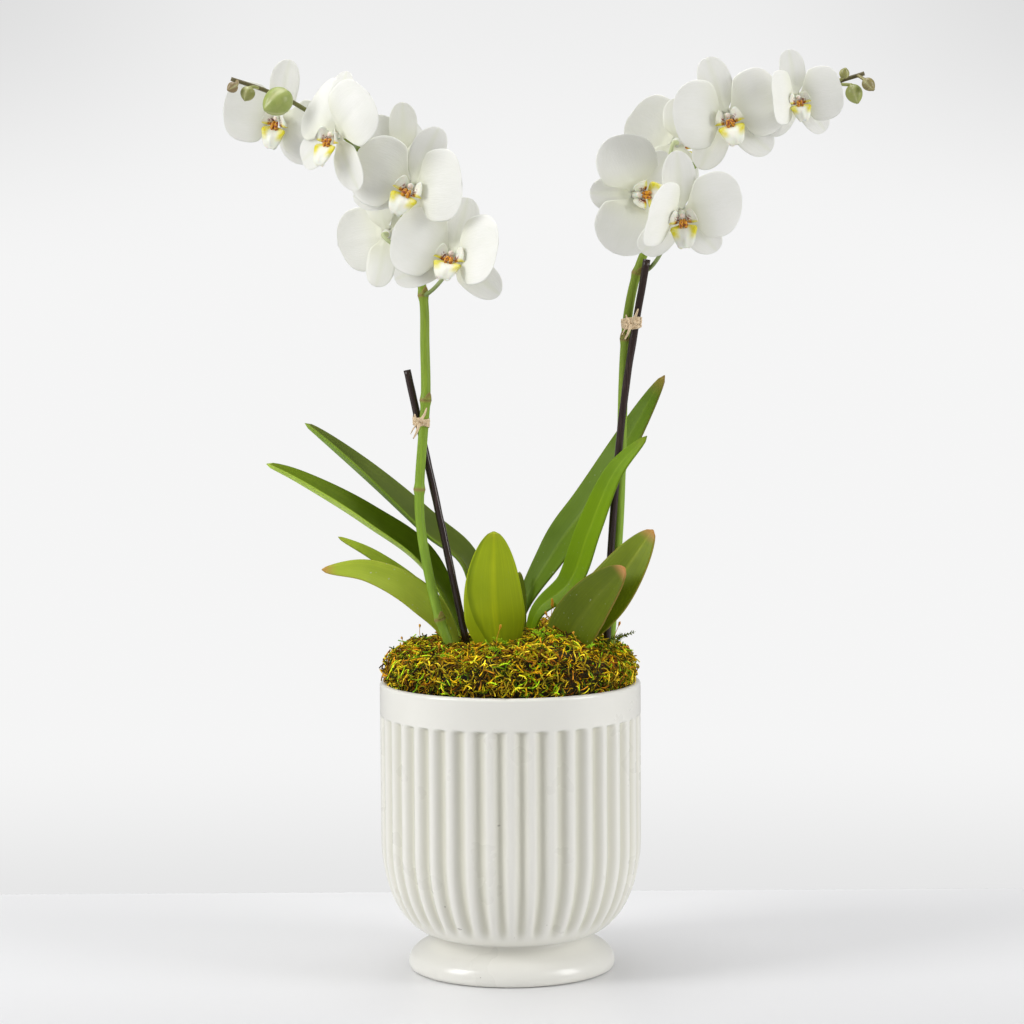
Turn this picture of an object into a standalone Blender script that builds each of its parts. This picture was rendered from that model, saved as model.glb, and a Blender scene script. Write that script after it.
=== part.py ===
"""Potted orchid: a moth orchid with two arching flower spikes in a fluted ceramic pot.

Metres, +Z up. The origin is on the pot's axis, at the level of the surface that the foot
stands on, and the front of the pot faces -Y. Every leaf, spike, stake, tie, bud, flower stalk
and flower is a piece of its own, and so are the pot, the bark that fills it and the moss on top.
"""
import math

import bmesh
import bpy
from mathutils import Matrix, Vector, noise

MM = 0.001
GAP = 0.0003                 # clearance between pieces that touch

# Pot: one glazed casting, foot and bowl together
POT_HEIGHT = 0.172
BOWL_RADIUS = 0.0775         # over the ridges and at the rim
NECK_RADIUS = 0.0450
NECK_HEIGHT = 0.0215
BOWL_STRAIGHT_FROM = 0.078   # above this height the wall is upright
FOOT_RADIUS = 0.0615
FOOT_CONTACT_RADIUS = 0.0590
POT_WALL = 0.0055
FLUTES = 40
FLUTE_DEPTH = 0.0020
FLUTE_TOP = 0.1525           # the plain band under the rim starts here
FLUTE_COLUMNS = 2            # one ridge and one valley for each flute

# Filling
BARK_TOP = 0.150
MOSS_CREST = 0.195
MOSS_CLEARANCE = 0.0008      # the moss stands this far off each stem and leaf that rises through it

# Plant
SPIKE_RADIUS = 0.0027
STAKE_RADIUS = 0.0022
STALK_RADIUS = 0.0012
TIE_RADIUS = 0.0007
LEAF_THICKNESS = 0.0020
PETAL_THICKNESS = 0.0012
HUB_RADIUS = 0.0032          # fused centre that all the parts of a flower grow from


# ---------------------------------------------------------------- scene and materials
for old in list(bpy.data.objects):
    bpy.data.objects.remove(old, do_unlink=True)

orchid = bpy.data.collections.new("potted_orchid")
cutters = bpy.data.collections.new("cutters")
bpy.context.scene.collection.children.link(orchid)
bpy.context.scene.collection.children.link(cutters)


def finish_material(name, colour, roughness):
    """One plain Principled finish."""
    material = bpy.data.materials.new(name)
    material.use_nodes = True
    shader = material.node_tree.nodes["Principled BSDF"]
    shader.inputs["Base Color"].default_value = (*colour, 1.0)
    shader.inputs["Roughness"].default_value = roughness
    shader.inputs["Metallic"].default_value = 0.0
    return material


FINISHES = {
    "glaze": ((0.90, 0.88, 0.83), 0.25),
    "bark": ((0.12, 0.06, 0.03), 0.95),
    "moss": ((0.22, 0.20, 0.03), 1.0),
    "leaf": ((0.13, 0.26, 0.03), 0.35),
    "spike": ((0.18, 0.30, 0.06), 0.45),
    "stake": ((0.03, 0.02, 0.015), 0.3),
    "raffia": ((0.75, 0.58, 0.36), 0.8),
    "petal": ((0.92, 0.92, 0.90), 0.6),
    "bud": ((0.45, 0.50, 0.15), 0.5),
}


def add_object(name, data, finish, collection=orchid):
    """Puts a mesh or curve in the scene with its own material."""
    obj = bpy.data.objects.new(name, data)
    collection.objects.link(obj)
    colour, roughness = FINISHES[finish]
    data.materials.append(finish_material(name + "_finish", colour, roughness))
    return obj


def mesh_from(bm, name):
    """Closes a bmesh into a mesh with all its faces pointing out."""
    bmesh.ops.recalc_face_normals(bm, faces=bm.faces)
    mesh = bpy.data.meshes.new(name)
    bm.to_mesh(mesh)
    bm.free()
    return mesh


def smooth_shading(mesh, sharp_degrees=40):
    mesh.shade_smooth()
    mesh.set_sharp_from_angle(angle=math.radians(sharp_degrees))


# ---------------------------------------------------------------- shared shape helpers
def blend(low, high, value):
    """Smooth step from 0 at low to 1 at high."""
    t = min(max((value - low) / (high - low), 0.0), 1.0)
    return t * t * (3 - 2 * t)


def through(points, count):
    """Evenly spread points on a smooth curve through the given points (Catmull-Rom)."""
    knots = [Vector(p) for p in points]
    knots = [2 * knots[0] - knots[1]] + knots + [2 * knots[-1] - knots[-2]]
    fine = []
    steps = 24
    for a, b, c, d in zip(knots, knots[1:], knots[2:], knots[3:]):
        for step in range(steps):
            t = step / steps
            fine.append(0.5 * (2 * b + (c - a) * t + (2 * a - 5 * b + 4 * c - d) * t * t
                               + (3 * b - a - 3 * c + d) * t ** 3))
    fine.append(knots[-2])
    lengths = [0.0]
    for a, b in zip(fine, fine[1:]):
        lengths.append(lengths[-1] + (b - a).length)
    result = []
    index = 0
    for k in range(count):
        target = lengths[-1] * k / (count - 1)
        while index < len(fine) - 2 and lengths[index + 1] < target:
            index += 1
        span = lengths[index + 1] - lengths[index]
        result.append(fine[index].lerp(fine[index + 1], (target - lengths[index]) / span))
    return result


def rod(name, points, radii, finish, sides=2, collection=orchid):
    """Round rod along points: a bevelled curve with closed ends, one radius a point."""
    curve = bpy.data.curves.new(name, "CURVE")
    curve.dimensions = "3D"
    curve.bevel_depth = 1.0
    curve.bevel_resolution = sides
    curve.use_fill_caps = True
    spline = curve.splines.new("POLY")
    spline.points.add(len(points) - 1)
    for node, point, radius in zip(spline.points, points, radii):
        node.co = (*point, 1.0)
        node.radius = radius
    return add_object(name, curve, finish, collection)


def ring_loft(bm, rings):
    """Closed turned body from rings of points, the first and last closed by a flat disc."""
    rows = [[bm.verts.new(p) for p in ring] for ring in rings]
    count = len(rows[0])
    for low, high in zip(rows, rows[1:]):
        for k in range(count):
            n = (k + 1) % count
            bm.faces.new((low[k], low[n], high[n], high[k]))
    bm.faces.new(rows[0])
    bm.faces.new(rows[-1])


# ---------------------------------------------------------------- pot
def bowl_radius(height, body, neck, low, high):
    """Quarter ellipse from the neck out to the upright wall."""
    if height >= high:
        return body
    t = (high - height) / (high - low)
    return neck + (body - neck) * math.sqrt(max(0.0, 1 - t * t))


def flute_amount(height):
    """The flutes run out softly at the band and where the bowl turns in to the neck."""
    top = 1 - blend(FLUTE_TOP - 0.003, FLUTE_TOP, height)
    bottom = blend(NECK_HEIGHT + 0.004, NECK_HEIGHT + 0.016, height)
    return top * bottom


def make_pot():
    columns = FLUTES * FLUTE_COLUMNS
    foot = [(0.0, FOOT_CONTACT_RADIUS), (0.0025, FOOT_RADIUS), (0.0080, FOOT_RADIUS - 0.0010),
            (0.0130, FOOT_RADIUS - 0.0060), (NECK_HEIGHT - 0.001, NECK_RADIUS + 0.0005)]
    bowl_heights = [0.0245, 0.0300, 0.040, 0.054, BOWL_STRAIGHT_FROM, FLUTE_TOP - 0.003,
                    FLUTE_TOP]
    bowl = [(z, bowl_radius(z, BOWL_RADIUS, NECK_RADIUS, NECK_HEIGHT, BOWL_STRAIGHT_FROM))
            for z in bowl_heights]
    inner_radius = BOWL_RADIUS - POT_WALL
    rim = [(POT_HEIGHT - 0.0020, BOWL_RADIUS), (POT_HEIGHT, BOWL_RADIUS - 0.0022),
           (POT_HEIGHT - 0.0020, inner_radius)]
    floor = NECK_HEIGHT + POT_WALL + 0.003
    inside_heights = [BOWL_STRAIGHT_FROM, 0.055, 0.040]
    inside = [(z, bowl_radius(z, inner_radius, NECK_RADIUS - 0.010, floor, BOWL_STRAIGHT_FROM))
              for z in inside_heights]
    inside.append((floor, NECK_RADIUS - 0.014))
    rings = []
    for height, radius in foot + bowl + rim + inside:
        depth = FLUTE_DEPTH * flute_amount(height) if (height, radius) in bowl else 0.0
        ring = []
        for k in range(columns):
            angle = 2 * math.pi * k / columns
            r = radius - depth * (k % FLUTE_COLUMNS)
            ring.append((r * math.cos(angle), r * math.sin(angle), height))
        rings.append(ring)
    bm = bmesh.new()
    ring_loft(bm, rings)
    mesh = mesh_from(bm, "pot")
    smooth_shading(mesh)
    return add_object("pot", mesh, "glaze")


# ---------------------------------------------------------------- bark and moss
def make_bark():
    """Turned plug of potting bark, standing on the pot's floor."""
    clearance = 2 * GAP
    inner = BOWL_RADIUS - POT_WALL - clearance
    floor = NECK_HEIGHT + POT_WALL + 0.003
    profile = [(0.0, BARK_TOP), (inner, BARK_TOP)]
    for z in (BOWL_STRAIGHT_FROM, 0.055, 0.040):
        r = bowl_radius(z, inner, NECK_RADIUS - 0.010 - clearance, floor, BOWL_STRAIGHT_FROM)
        profile.append((r - clearance, z + GAP))
    profile.append((NECK_RADIUS - 0.016, floor + GAP))
    profile.append((0.0, floor + GAP))
    mesh = bpy.data.meshes.new("potting_bark")
    mesh.from_pydata([(r, 0.0, z) for r, z in profile],
                     [(k, k + 1) for k in range(len(profile) - 1)], [])
    obj = add_object("potting_bark", mesh, "bark")
    screw = obj.modifiers.new("turn", "SCREW")
    screw.steps = 32
    screw.render_steps = 32
    screw.use_merge_vertices = True
    screw.merge_threshold = 0.0001
    return obj


def moss_height(x, y):
    """Lumpy crest: highest a little right of the middle, lower at both sides."""
    crest = MOSS_CREST + 0.008 * math.exp(-((x - 0.027) / 0.022) ** 2)
    lump = noise.noise(Vector((x, y, 0.0)) * 45.0) * 0.004
    return crest + lump


def make_moss():
    inner = BOWL_RADIUS - POT_WALL - 2 * GAP
    base = BARK_TOP + GAP
    over_rim = POT_HEIGHT + 2 * GAP
    columns = 32
    lower = [(inner, base), (inner - GAP, POT_HEIGHT - 0.0028),
             (BOWL_RADIUS - 0.0050, over_rim + 0.0006), (BOWL_RADIUS - 0.0040, over_rim + 0.005)]
    rings = []
    for r, z in lower:
        rings.append([(r * math.cos(a), r * math.sin(a), z)
                      for a in (2 * math.pi * k / columns for k in range(columns))])
    for r, drop in ((0.0695, 0.008), (0.060, 0.003), (0.040, 0.0), (0.018, 0.0)):
        ring = []
        for k in range(columns):
            a = 2 * math.pi * k / columns
            x, y = r * math.cos(a), r * math.sin(a)
            ring.append((x, y, moss_height(x, y) - drop))
        rings.append(ring)
    bm = bmesh.new()
    ring_loft(bm, rings)
    bmesh.ops.triangulate(bm, faces=[f for f in bm.faces if len(f.verts) > 4])
    mesh = mesh_from(bm, "moss")
    smooth_shading(mesh, 60)
    return add_object("moss", mesh, "moss")


def cut(target, cutter):
    """Takes a hidden cutter's shape out of a piece."""
    cutter.hide_render = True
    cutter.display_type = "WIRE"
    boolean = target.modifiers.new(cutter.name, "BOOLEAN")
    boolean.operation = "DIFFERENCE"
    boolean.solver = "EXACT"
    boolean.object = cutter


def rod_cutter(name, points, radius):
    """Closed mesh of a rod, for cutting the hole that a stem or stake goes through."""
    curve = rod(name + "_curve", points, [radius] * len(points), "spike", collection=cutters)
    evaluated = curve.evaluated_get(bpy.context.evaluated_depsgraph_get())
    mesh = bpy.data.meshes.new_from_object(evaluated)
    bm = bmesh.new()
    bm.from_mesh(mesh)
    bmesh.ops.remove_doubles(bm, verts=bm.verts, dist=0.00001)
    bm.to_mesh(mesh)
    bm.free()
    cutter = bpy.data.objects.new(name, mesh)
    cutter.matrix_world = curve.matrix_world
    cutters.objects.link(cutter)
    bpy.data.objects.remove(curve, do_unlink=True)
    return cutter


# ---------------------------------------------------------------- leaves
# Points run along the midrib from the base to the tip, in millimetres. width is the widest
# distance from edge to edge, fold the slope of each half of the blade, and face the way that
# the upper side looks at the base and at the tip.
LEAVES = {
    "left_leaf_1": dict(path=[(-14, 14, 151), (-18, 14, 192), (-26, 15, 237), (-50, 15, 258.5),
                              (-83, 13, 290), (-121, 10, 325)],
                        width=31, fold=35, face=((0.5, -0.6, 0.5), (0.3, -0.2, 1.0))),
    "left_leaf_2": dict(path=[(-23, 9, 151), (-28, 11, 192), (-50, 13, 237), (-86, 6, 266),
                              (-122, -2, 290), (-143, -5, 302)],
                        width=30, fold=37, face=((0.5, -0.55, 0.6), (0.3, -0.3, 0.9))),
    "left_leaf_3": dict(path=[(-29, 2, 151), (-36, 1, 201), (-52, -1, 225), (-78, -4, 246),
                              (-101, -8, 259)],
                        width=10, fold=12, face=((0.3, -0.8, 0.5), (0.0, -0.8, 0.6))),
    "left_leaf_4": dict(path=[(-25, -5, 151), (-35, -5, 199), (-54, -7.5, 223.5),
                              (-82, -15, 239), (-110, -22, 241)],
                        width=18, fold=8, face=((-0.5, -0.8, 0.2), (-0.1, -0.9, 0.4))),
    "left_leaf_5": dict(path=[(-6, -15, 151), (-6.5, -18, 190), (-9.5, -25, 225),
                              (-9, -33, 264)],
                        width=37, base=0.34, fold=14, face=((0.0, 1.0, 0.2), (-0.1, 1.0, 0.3))),
    "right_leaf_1": dict(path=[(7, 11, 151), (5, 12, 205), (27, 13, 247), (48, 14, 276),
                               (66, 15, 305), (93, 16, 352)],
                         width=25, fold=12, face=((-0.5, -0.8, 0.3), (-0.6, -0.75, 0.3))),
    "right_leaf_2": dict(path=[(13, 4, 151), (14, 0, 207), (36, -4, 231), (48, -8, 263),
                               (62, -13, 296), (81, -17, 318)],
                         width=19, fold=14, face=((-0.5, -0.8, 0.3), (-0.5, -0.8, 0.3))),
    "right_leaf_3": dict(path=[(23, -9, 156), (38, -17, 201), (60, -24, 228), (84, -30, 264)],
                         width=35, fold=10, face=((-0.4, -0.8, 0.4), (-0.4, -0.8, 0.4))),
    "right_leaf_4": dict(path=[(20, -14, 155), (33, -24, 196), (48, -33, 221), (67, -44, 243.5)],
                         width=35, base=0.50, fold=10, face=((-0.3, -0.8, 0.4), (-0.4, -0.8, 0.4))),
    "right_leaf_5": dict(path=[(5, 3, 151), (3, 4, 198), (5, 6, 222), (6, 8, 236)],
                         width=14, fold=14, face=((0.3, -0.9, 0.2), (0.3, -0.9, 0.2))),
}


def leaf_half_width(s, half, base):
    """Narrow channelled base, widest past the middle, blunt tip."""
    body = math.sin(math.pi * min(s, 0.995) ** 1.1) ** 0.55
    stem = base + (1 - base) * blend(0.15, 0.55, s)
    return half * max(body * stem, base * (1 - blend(0.1, 0.3, s)), 0.05)


def make_leaf(name, path, width, fold, face, base=0.30, margin=0.0, rows=9, columns=4):
    """Folded blade along its midrib, as an open sheet with a thickness. margin swells it."""
    points = through([Vector(p) * MM for p in path], rows + 1)
    if margin:
        points[0] += (points[0] - points[1]).normalized() * 2 * margin
        points = [p for p in points if p.z < MOSS_CREST + 0.03]
    face_base, face_tip = (Vector(f).normalized() for f in face)
    bm = bmesh.new()
    grid = []
    for i, point in enumerate(points):
        s = i / rows
        ahead = (points[min(i + 1, len(points) - 1)] - points[max(i - 1, 0)]).normalized()
        upper = face_base.lerp(face_tip, s)
        upper = (upper - upper.dot(ahead) * ahead).normalized()
        side = ahead.cross(upper)
        half = leaf_half_width(s, width * MM / 2, base) + margin
        slope = math.radians(min(fold * (1.0 + 0.9 * (1 - blend(0.0, 0.35, s))), 48.0))
        row = []
        for j in range(columns + 1):
            t = 2 * j / columns - 1
            across = half * t * math.cos(slope)
            lift = half * abs(t) * math.sin(slope)
            row.append(bm.verts.new(point + side * across + upper * lift))
        grid.append(row)
    for low, high in zip(grid, grid[1:]):
        for j in range(columns):
            bm.faces.new((low[j], low[j + 1], high[j + 1], high[j]))
    mesh = bpy.data.meshes.new(name)
    bm.to_mesh(mesh)
    bm.free()
    smooth_shading(mesh, 60)
    obj = add_object(name, mesh, "leaf", cutters if margin else orchid)
    solid = obj.modifiers.new("blade", "SOLIDIFY")
    solid.thickness = LEAF_THICKNESS + 2 * margin
    solid.offset = 0.0
    return obj


# ---------------------------------------------------------------- spikes, stakes, ties
SPIKES = {
    "left_spike": [(-30, -12, 152), (-34, -12, 188), (-42, -12, 213), (-48.5, -12, 242),
                   (-52.3, -12, 268), (-52.5, -12, 290), (-50.5, -12, 316), (-48.5, -11, 342),
                   (-48.8, -9, 372), (-49.5, -7, 400), (-56, -3, 434), (-70, -1, 466),
                   (-92, -1, 491), (-122, -4, 512), (-142, -8, 521), (-160, -12, 527)],
    "right_spike": [(58, -2, 152), (59.5, -2, 194), (62, -2, 225), (65, -2, 268), (66.5, -2, 306),
                    (67.6, -2, 345), (69, -2, 372), (71.3, -2, 393), (76, -1, 413), (84, 0, 433),
                    (96, 1, 456), (111, 1, 477), (134, 0, 495), (160, -3, 509), (186, -7, 521),
                    (208, -12, 528)],
}
STAKES = {
    "left_stake": [(-3, -6.3, 85), (-25, -6.3, 192), (-42, -6.3, 275), (-59.5, -6.3, 357)],
    "right_stake": [(54, -7.6, 85), (57.5, -7.6, 197), (61, -7.6, 265), (68.5, -7.6, 343),
                    (81.5, -7.6, 421)],
}


def on_spike(name, position, axis):
    """Where a spike's centreline reaches a position in mm along x or z, and its direction there."""
    points = through([Vector(p) * MM for p in SPIKES[name]], 200)
    index = min(range(1, 199), key=lambda k: abs(getattr(points[k], axis) - position * MM))
    return points[index], (points[index + 1] - points[index - 1]).normalized()


def spike_radius(s):
    """Thick at the base, thinning over its arched upper half."""
    return SPIKE_RADIUS * (1.05 - 0.60 * blend(0.45, 1.0, s))


def make_spike(name):
    count = 24
    points = through([Vector(p) * MM for p in SPIKES[name]], count)
    radii = [spike_radius(k / (count - 1)) for k in range(count)]
    return rod(name, points, radii, "spike")


def make_stake(name):
    points = through([Vector(p) * MM for p in STAKES[name]], 8)
    return rod(name, points, [STAKE_RADIUS] * 8, "stake")


def make_tie(name, spike, stake, height, pitch=0.0022):
    """Raffia wound one and a half times round the spike and the stake, with two loose ends."""
    centre_a, _ = on_spike(spike, height, "z")
    stake_points = through([Vector(p) * MM for p in STAKES[stake]], 200)
    centre_b = min(stake_points, key=lambda p: abs(p.z - height * MM))
    middle = (centre_a + centre_b) / 2
    long_axis = Vector((centre_b.x - centre_a.x, centre_b.y - centre_a.y, 0.0))
    half_long = long_axis.length / 2 + SPIKE_RADIUS + TIE_RADIUS + 3 * GAP
    half_short = SPIKE_RADIUS + TIE_RADIUS + 4 * GAP
    along = long_axis.normalized()
    across = Vector((-along.y, along.x, 0.0))
    turns = 1.5
    steps = 19
    route = []
    lean = (stake_points[-1] - stake_points[0]).normalized()
    for k in range(steps):
        angle = math.radians(200) + 2 * math.pi * turns * k / (steps - 1)
        rise = pitch * (turns * k / (steps - 1) - turns / 2)
        squareness = 1 + 0.12 * abs(math.sin(2 * angle))
        route.append(middle + squareness * (along * half_long * math.cos(angle)
                                            + across * half_short * math.sin(angle))
                     + Vector((lean.x / lean.z * rise, 0, rise)))
    first = route[0] + (route[0] - middle).normalized() * 0.006 + Vector((0, -0.001, -0.009))
    last = route[-1] + (route[-1] - middle).normalized() * 0.006 + Vector((0, -0.002, 0.009))
    route = [first] + route + [last]
    return rod(name, route, [TIE_RADIUS] * len(route), "raffia", sides=1)


# ---------------------------------------------------------------- flowers
# place is the flower's centre in millimetres. turn swings its face from the front towards +X,
# tip raises the face, spin rolls it clockwise seen from where it faces, and size scales the
# nominal flower. aims are the ways its left and right petals point, sweep folds them forward, and
# sepals are the ways its upper, left and right sepals point, all in degrees. dorsal scales the
# length of the upper sepal. node is where its stalk leaves the spike, a position along x or
# along z in mm, and leave is the way the stalk sets off where it isn't straight to the flower.
FLOWERS = {
    "left_flower_1": dict(place=(-32, -41, 423), turn=-5, tip=19, spin=12, size=0.95,
                          aims=(170, 12), sweep=(10, 45), sepals=(90, 212, 335), node=(401, "z")),
    "left_flower_2": dict(place=(-71, 14, 436.5), turn=160, tip=0, spin=15, size=0.87,
                          aims=(170, 3), sweep=(0, 10), sepals=(90, 235, 294), node=(430, "z")),
    "left_flower_3": dict(place=(-55, -33, 463), turn=-8, tip=5, spin=25, size=0.95,
                          aims=(180, 26), sweep=(0, 33), sepals=(92, 212, 320), node=(446, "z")),
    "left_flower_4": dict(place=(-61.5, 26, 483), turn=180, tip=0, spin=0, size=0.78,
                          aims=(150, 25), sweep=(60, 0), sepals=(90, 230, 310), node=(462, "z")),
    "left_flower_5": dict(place=(-98, -34, 493), turn=-40, tip=0, spin=8, size=0.92,
                          aims=(136, 50), sweep=(-15, 4), sepals=(90, 212, 300),
                          node=(-88, "x")),
    "left_flower_6": dict(place=(-134, 14, 506), turn=-22, tip=-18, spin=12, size=0.87,
                          aims=(175, -20), sweep=(30, -6), sepals=(84, 205, 300),
                          node=(-100, "x"), leave=(6, 14, 22)),
    "right_flower_1": dict(place=(99.5, -48, 447.5), turn=5, tip=-20, spin=-6, size=0.90,
                           aims=(160, 8), sweep=(52, 0), sepals=(90, 225, 305),
                           node=(415, "z"), leave=(12, 0, 0)),
    "right_flower_2": dict(place=(74.5, -20, 458.5), turn=25, tip=0, spin=-88, size=0.90,
                           dorsal=0.75, aims=(160, 20), sweep=(0, 0), sepals=(90, 225, 315),
                           node=(446, "z")),
    "right_flower_3": dict(place=(101, 22, 489.5), turn=160, tip=0, spin=0, size=0.85,
                           dorsal=0.75, aims=(128, 34), sweep=(0, 0), sepals=(92, 262, 310),
                           node=(464, "z")),
    "right_flower_4": dict(place=(126.5, -33, 502.5), turn=5, tip=0, spin=-14, size=0.90,
                           aims=(164, 9), sweep=(25, 0), sepals=(94, 230, 308),
                           node=(118, "x")),
    "right_flower_5": dict(place=(167, -30, 513), turn=10, tip=0, spin=-8, size=0.71,
                           aims=(175, 0), sweep=(50, 30), sepals=(90, 225, 305),
                           node=(156, "x")),
}

# One entry for each lobe of a flower, in order round the hub: where on the hub it starts, its
# length and half width in mm, and how far it stands forward of the hub.
LOBES = {
    "right_petal": (30, 37.5, 22.0, 2.5),
    "dorsal_sepal": (90, 38.0, 10.8, -3.0),
    "left_petal": (150, 37.5, 22.0, 2.5),
    "left_sepal": (210, 34.5, 10.8, -3.0),
    "lip": (270, 15.0, 7.0, 11.0),
    "right_sepal": (330, 34.5, 10.8, -3.0),
}


def lobe_half_width(kind, s, half):
    """Narrow claw, broadest a little past the middle, round end."""
    petal = "petal" in kind
    broadest, roundness = (0.54, 2.25) if petal else (0.58, 2.1)
    reach = (broadest - s) / broadest if s < broadest else (s - broadest) / (1 - broadest)
    body = max(1 - reach ** roundness, 0.0) ** (1 / roundness)
    claw = 0.16 if petal else 0.34
    return half * max(body * (claw + (1 - claw) * blend(-0.04, 0.30, s)), 0.30)


def facing(turn, tip, spin):
    """Matrix whose columns are the flower's right, its top and the way it faces."""
    turn, tip, spin = (math.radians(v) for v in (turn, tip, spin))
    face = Vector((math.sin(turn) * math.cos(tip), -math.cos(turn) * math.cos(tip), math.sin(tip)))
    level = Vector((math.cos(turn), math.sin(turn), 0.0))
    top = face.cross(level)
    right = math.cos(spin) * level - math.sin(spin) * top
    top = math.sin(spin) * level + math.cos(spin) * top
    return Matrix((right, top, face)).transposed()


def hub_point(degrees, radius):
    return Vector((math.cos(math.radians(degrees)), math.sin(math.radians(degrees)), 0)) * radius


def make_flower(name, place, turn, tip, spin, size, aims, sweep, sepals, node, dorsal=1.0,
                leave=None):
    """One thin sheet: a hub and six lobes that grow from it, petals in front of sepals."""
    stations = (0.16, 0.38, 0.70, 1.0)
    bm = bmesh.new()
    centre = bm.verts.new((0, 0, 0))
    corners = [bm.verts.new(hub_point(60 * k, HUB_RADIUS * 1.15)) for k in range(6)]
    ways = dict(zip(("left_petal", "right_petal", "dorsal_sepal", "left_sepal", "right_sepal",
                     "lip"), aims + sepals + (270,)))
    folds = {"left_petal": sweep[0], "right_petal": sweep[1]}
    for k, (kind, (root, length, half, forward)) in enumerate(LOBES.items()):
        across = 4 if "petal" in kind else 2
        start, end = corners[k], corners[(k + 1) % 6]
        row = [start]
        row += [bm.verts.new(start.co.lerp(end.co, j / across)) for j in range(1, across)]
        row.append(end)
        for low, high in zip(row, row[1:]):
            bm.faces.new((centre, low, high))
        fold = math.radians(folds.get(kind, 0))
        if kind == "dorsal_sepal":
            length *= dorsal
        aim_way = hub_point(ways[kind], 1.0)
        side = Vector((-aim_way.y, aim_way.x, 0))
        for s in stations:
            reach = length * MM * s
            lift = forward * MM * blend(0.0, 0.25, s)
            if kind == "lip":
                lift = forward * MM * math.sin(math.pi * 0.75 * s)
            middle = (hub_point(root, HUB_RADIUS) + aim_way * reach * math.cos(fold)
                      + Vector((0, 0, lift + reach * math.sin(fold))))
            half_width = lobe_half_width(kind, s, half * MM)
            fresh = [bm.verts.new(middle + side * half_width * (2 * j / across - 1))
                     for j in range(across + 1)]
            for j in range(across):
                bm.faces.new((row[j], fresh[j], fresh[j + 1], row[j + 1]))
            row = fresh
    bmesh.ops.recalc_face_normals(bm, faces=bm.faces)
    move = Matrix.Translation(Vector(place) * MM) @ (facing(turn, tip, spin) * size).to_4x4()
    bmesh.ops.transform(bm, matrix=move, verts=bm.verts)
    mesh = bpy.data.meshes.new(name)
    bm.to_mesh(mesh)
    bm.free()
    smooth_shading(mesh, 60)
    obj = add_object(name, mesh, "petal")
    solid = obj.modifiers.new("petals", "SOLIDIFY")
    solid.thickness = PETAL_THICKNESS
    solid.offset = 0.0
    return obj


def make_flower_stalk(name, flower, spike):
    """Stalk from just off the spike to just behind the flower's hub."""
    spec = FLOWERS[flower]
    base, spike_way = on_spike(spike, *spec["node"])
    face = facing(spec["turn"], spec["tip"], spec["spin"]).col[2]
    top = Vector(spec["place"]) * MM - face * (PETAL_THICKNESS / 2 + GAP)
    straight = top - face * 0.006
    behind = straight - face * 0.006
    leave = Vector(spec["leave"]) * MM if "leave" in spec else (behind - base).normalized() * 0.010
    away = (leave - leave.dot(spike_way) * spike_way).normalized()
    start = base + away * (SPIKE_RADIUS + 2 * GAP)
    mid = start + away * leave.length
    steps = 7
    points = [start, start + away * 0.0012]
    for k in range(1, steps):
        t = k / (steps - 1)
        points.append((1 - t) ** 3 * start + 3 * (1 - t) ** 2 * t * mid
                      + 3 * (1 - t) * t * t * behind + t ** 3 * straight)
    points.append(top)
    return rod(name, points, [STALK_RADIUS] * len(points), "spike", sides=1)


# ---------------------------------------------------------------- buds
# at is how far along X the bud's stalk leaves its spike, place the middle of the bud, aim the
# way it points; length and girth (greatest radius) are in mm.
BUDS = {
    "left_bud_1": dict(spike="left_spike", at=-128, place=(-132.5, -25, 513), aim=(-0.6, -0.5, -0.4),
                       length=20, girth=8.2),
    "left_bud_2": dict(spike="left_spike", at=-145, place=(-150, -19, 518), aim=(-0.3, -0.4, -0.8),
                       length=9, girth=4.4),
    "left_bud_3": dict(spike="left_spike", at=-156, place=(-158.5, -23, 521.5), aim=(-0.6, -0.6, -0.4),
                       length=7, girth=3.2),
    "right_bud_1": dict(spike="right_spike", at=188, place=(202, -14, 516), aim=(0.3, -0.3, -0.9),
                        length=12, girth=5.0),
    "right_bud_2": dict(spike="right_spike", at=192, place=(196, -16, 528), aim=(0.1, -0.6, 0.6),
                        length=7, girth=3.0),
    "right_bud_3": dict(spike="right_spike", at=205, place=(209.5, -22, 521), aim=(0.5, -0.3, -0.6),
                        length=9, girth=3.7),
}


def make_bud(name, spike, at, place, aim, length, girth):
    """Closed bud on its stalk, one piece."""
    base, spike_way = on_spike(spike, at, "x")
    centre = Vector(place) * MM
    aim = Vector(aim).normalized()
    root = centre - aim * length * MM / 2
    away = root - base
    away = (away - away.dot(spike_way) * spike_way).normalized()
    start = base + away * (SPIKE_RADIUS * 0.75 + 2 * GAP)
    points = [start, start.lerp(root, 0.5) - aim * 0.0005, root]
    radii = [0.0009, 0.0009, 0.0010]
    for s in (0.12, 0.30, 0.50, 0.70, 0.88, 1.0):
        points.append(root + aim * length * MM * s)
        radii.append(max(girth * MM * math.sin(math.pi * min(s, 0.97) ** 0.85) ** 0.6, 0.0006))
    return rod(name, points, radii, "bud", sides=2)


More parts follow.
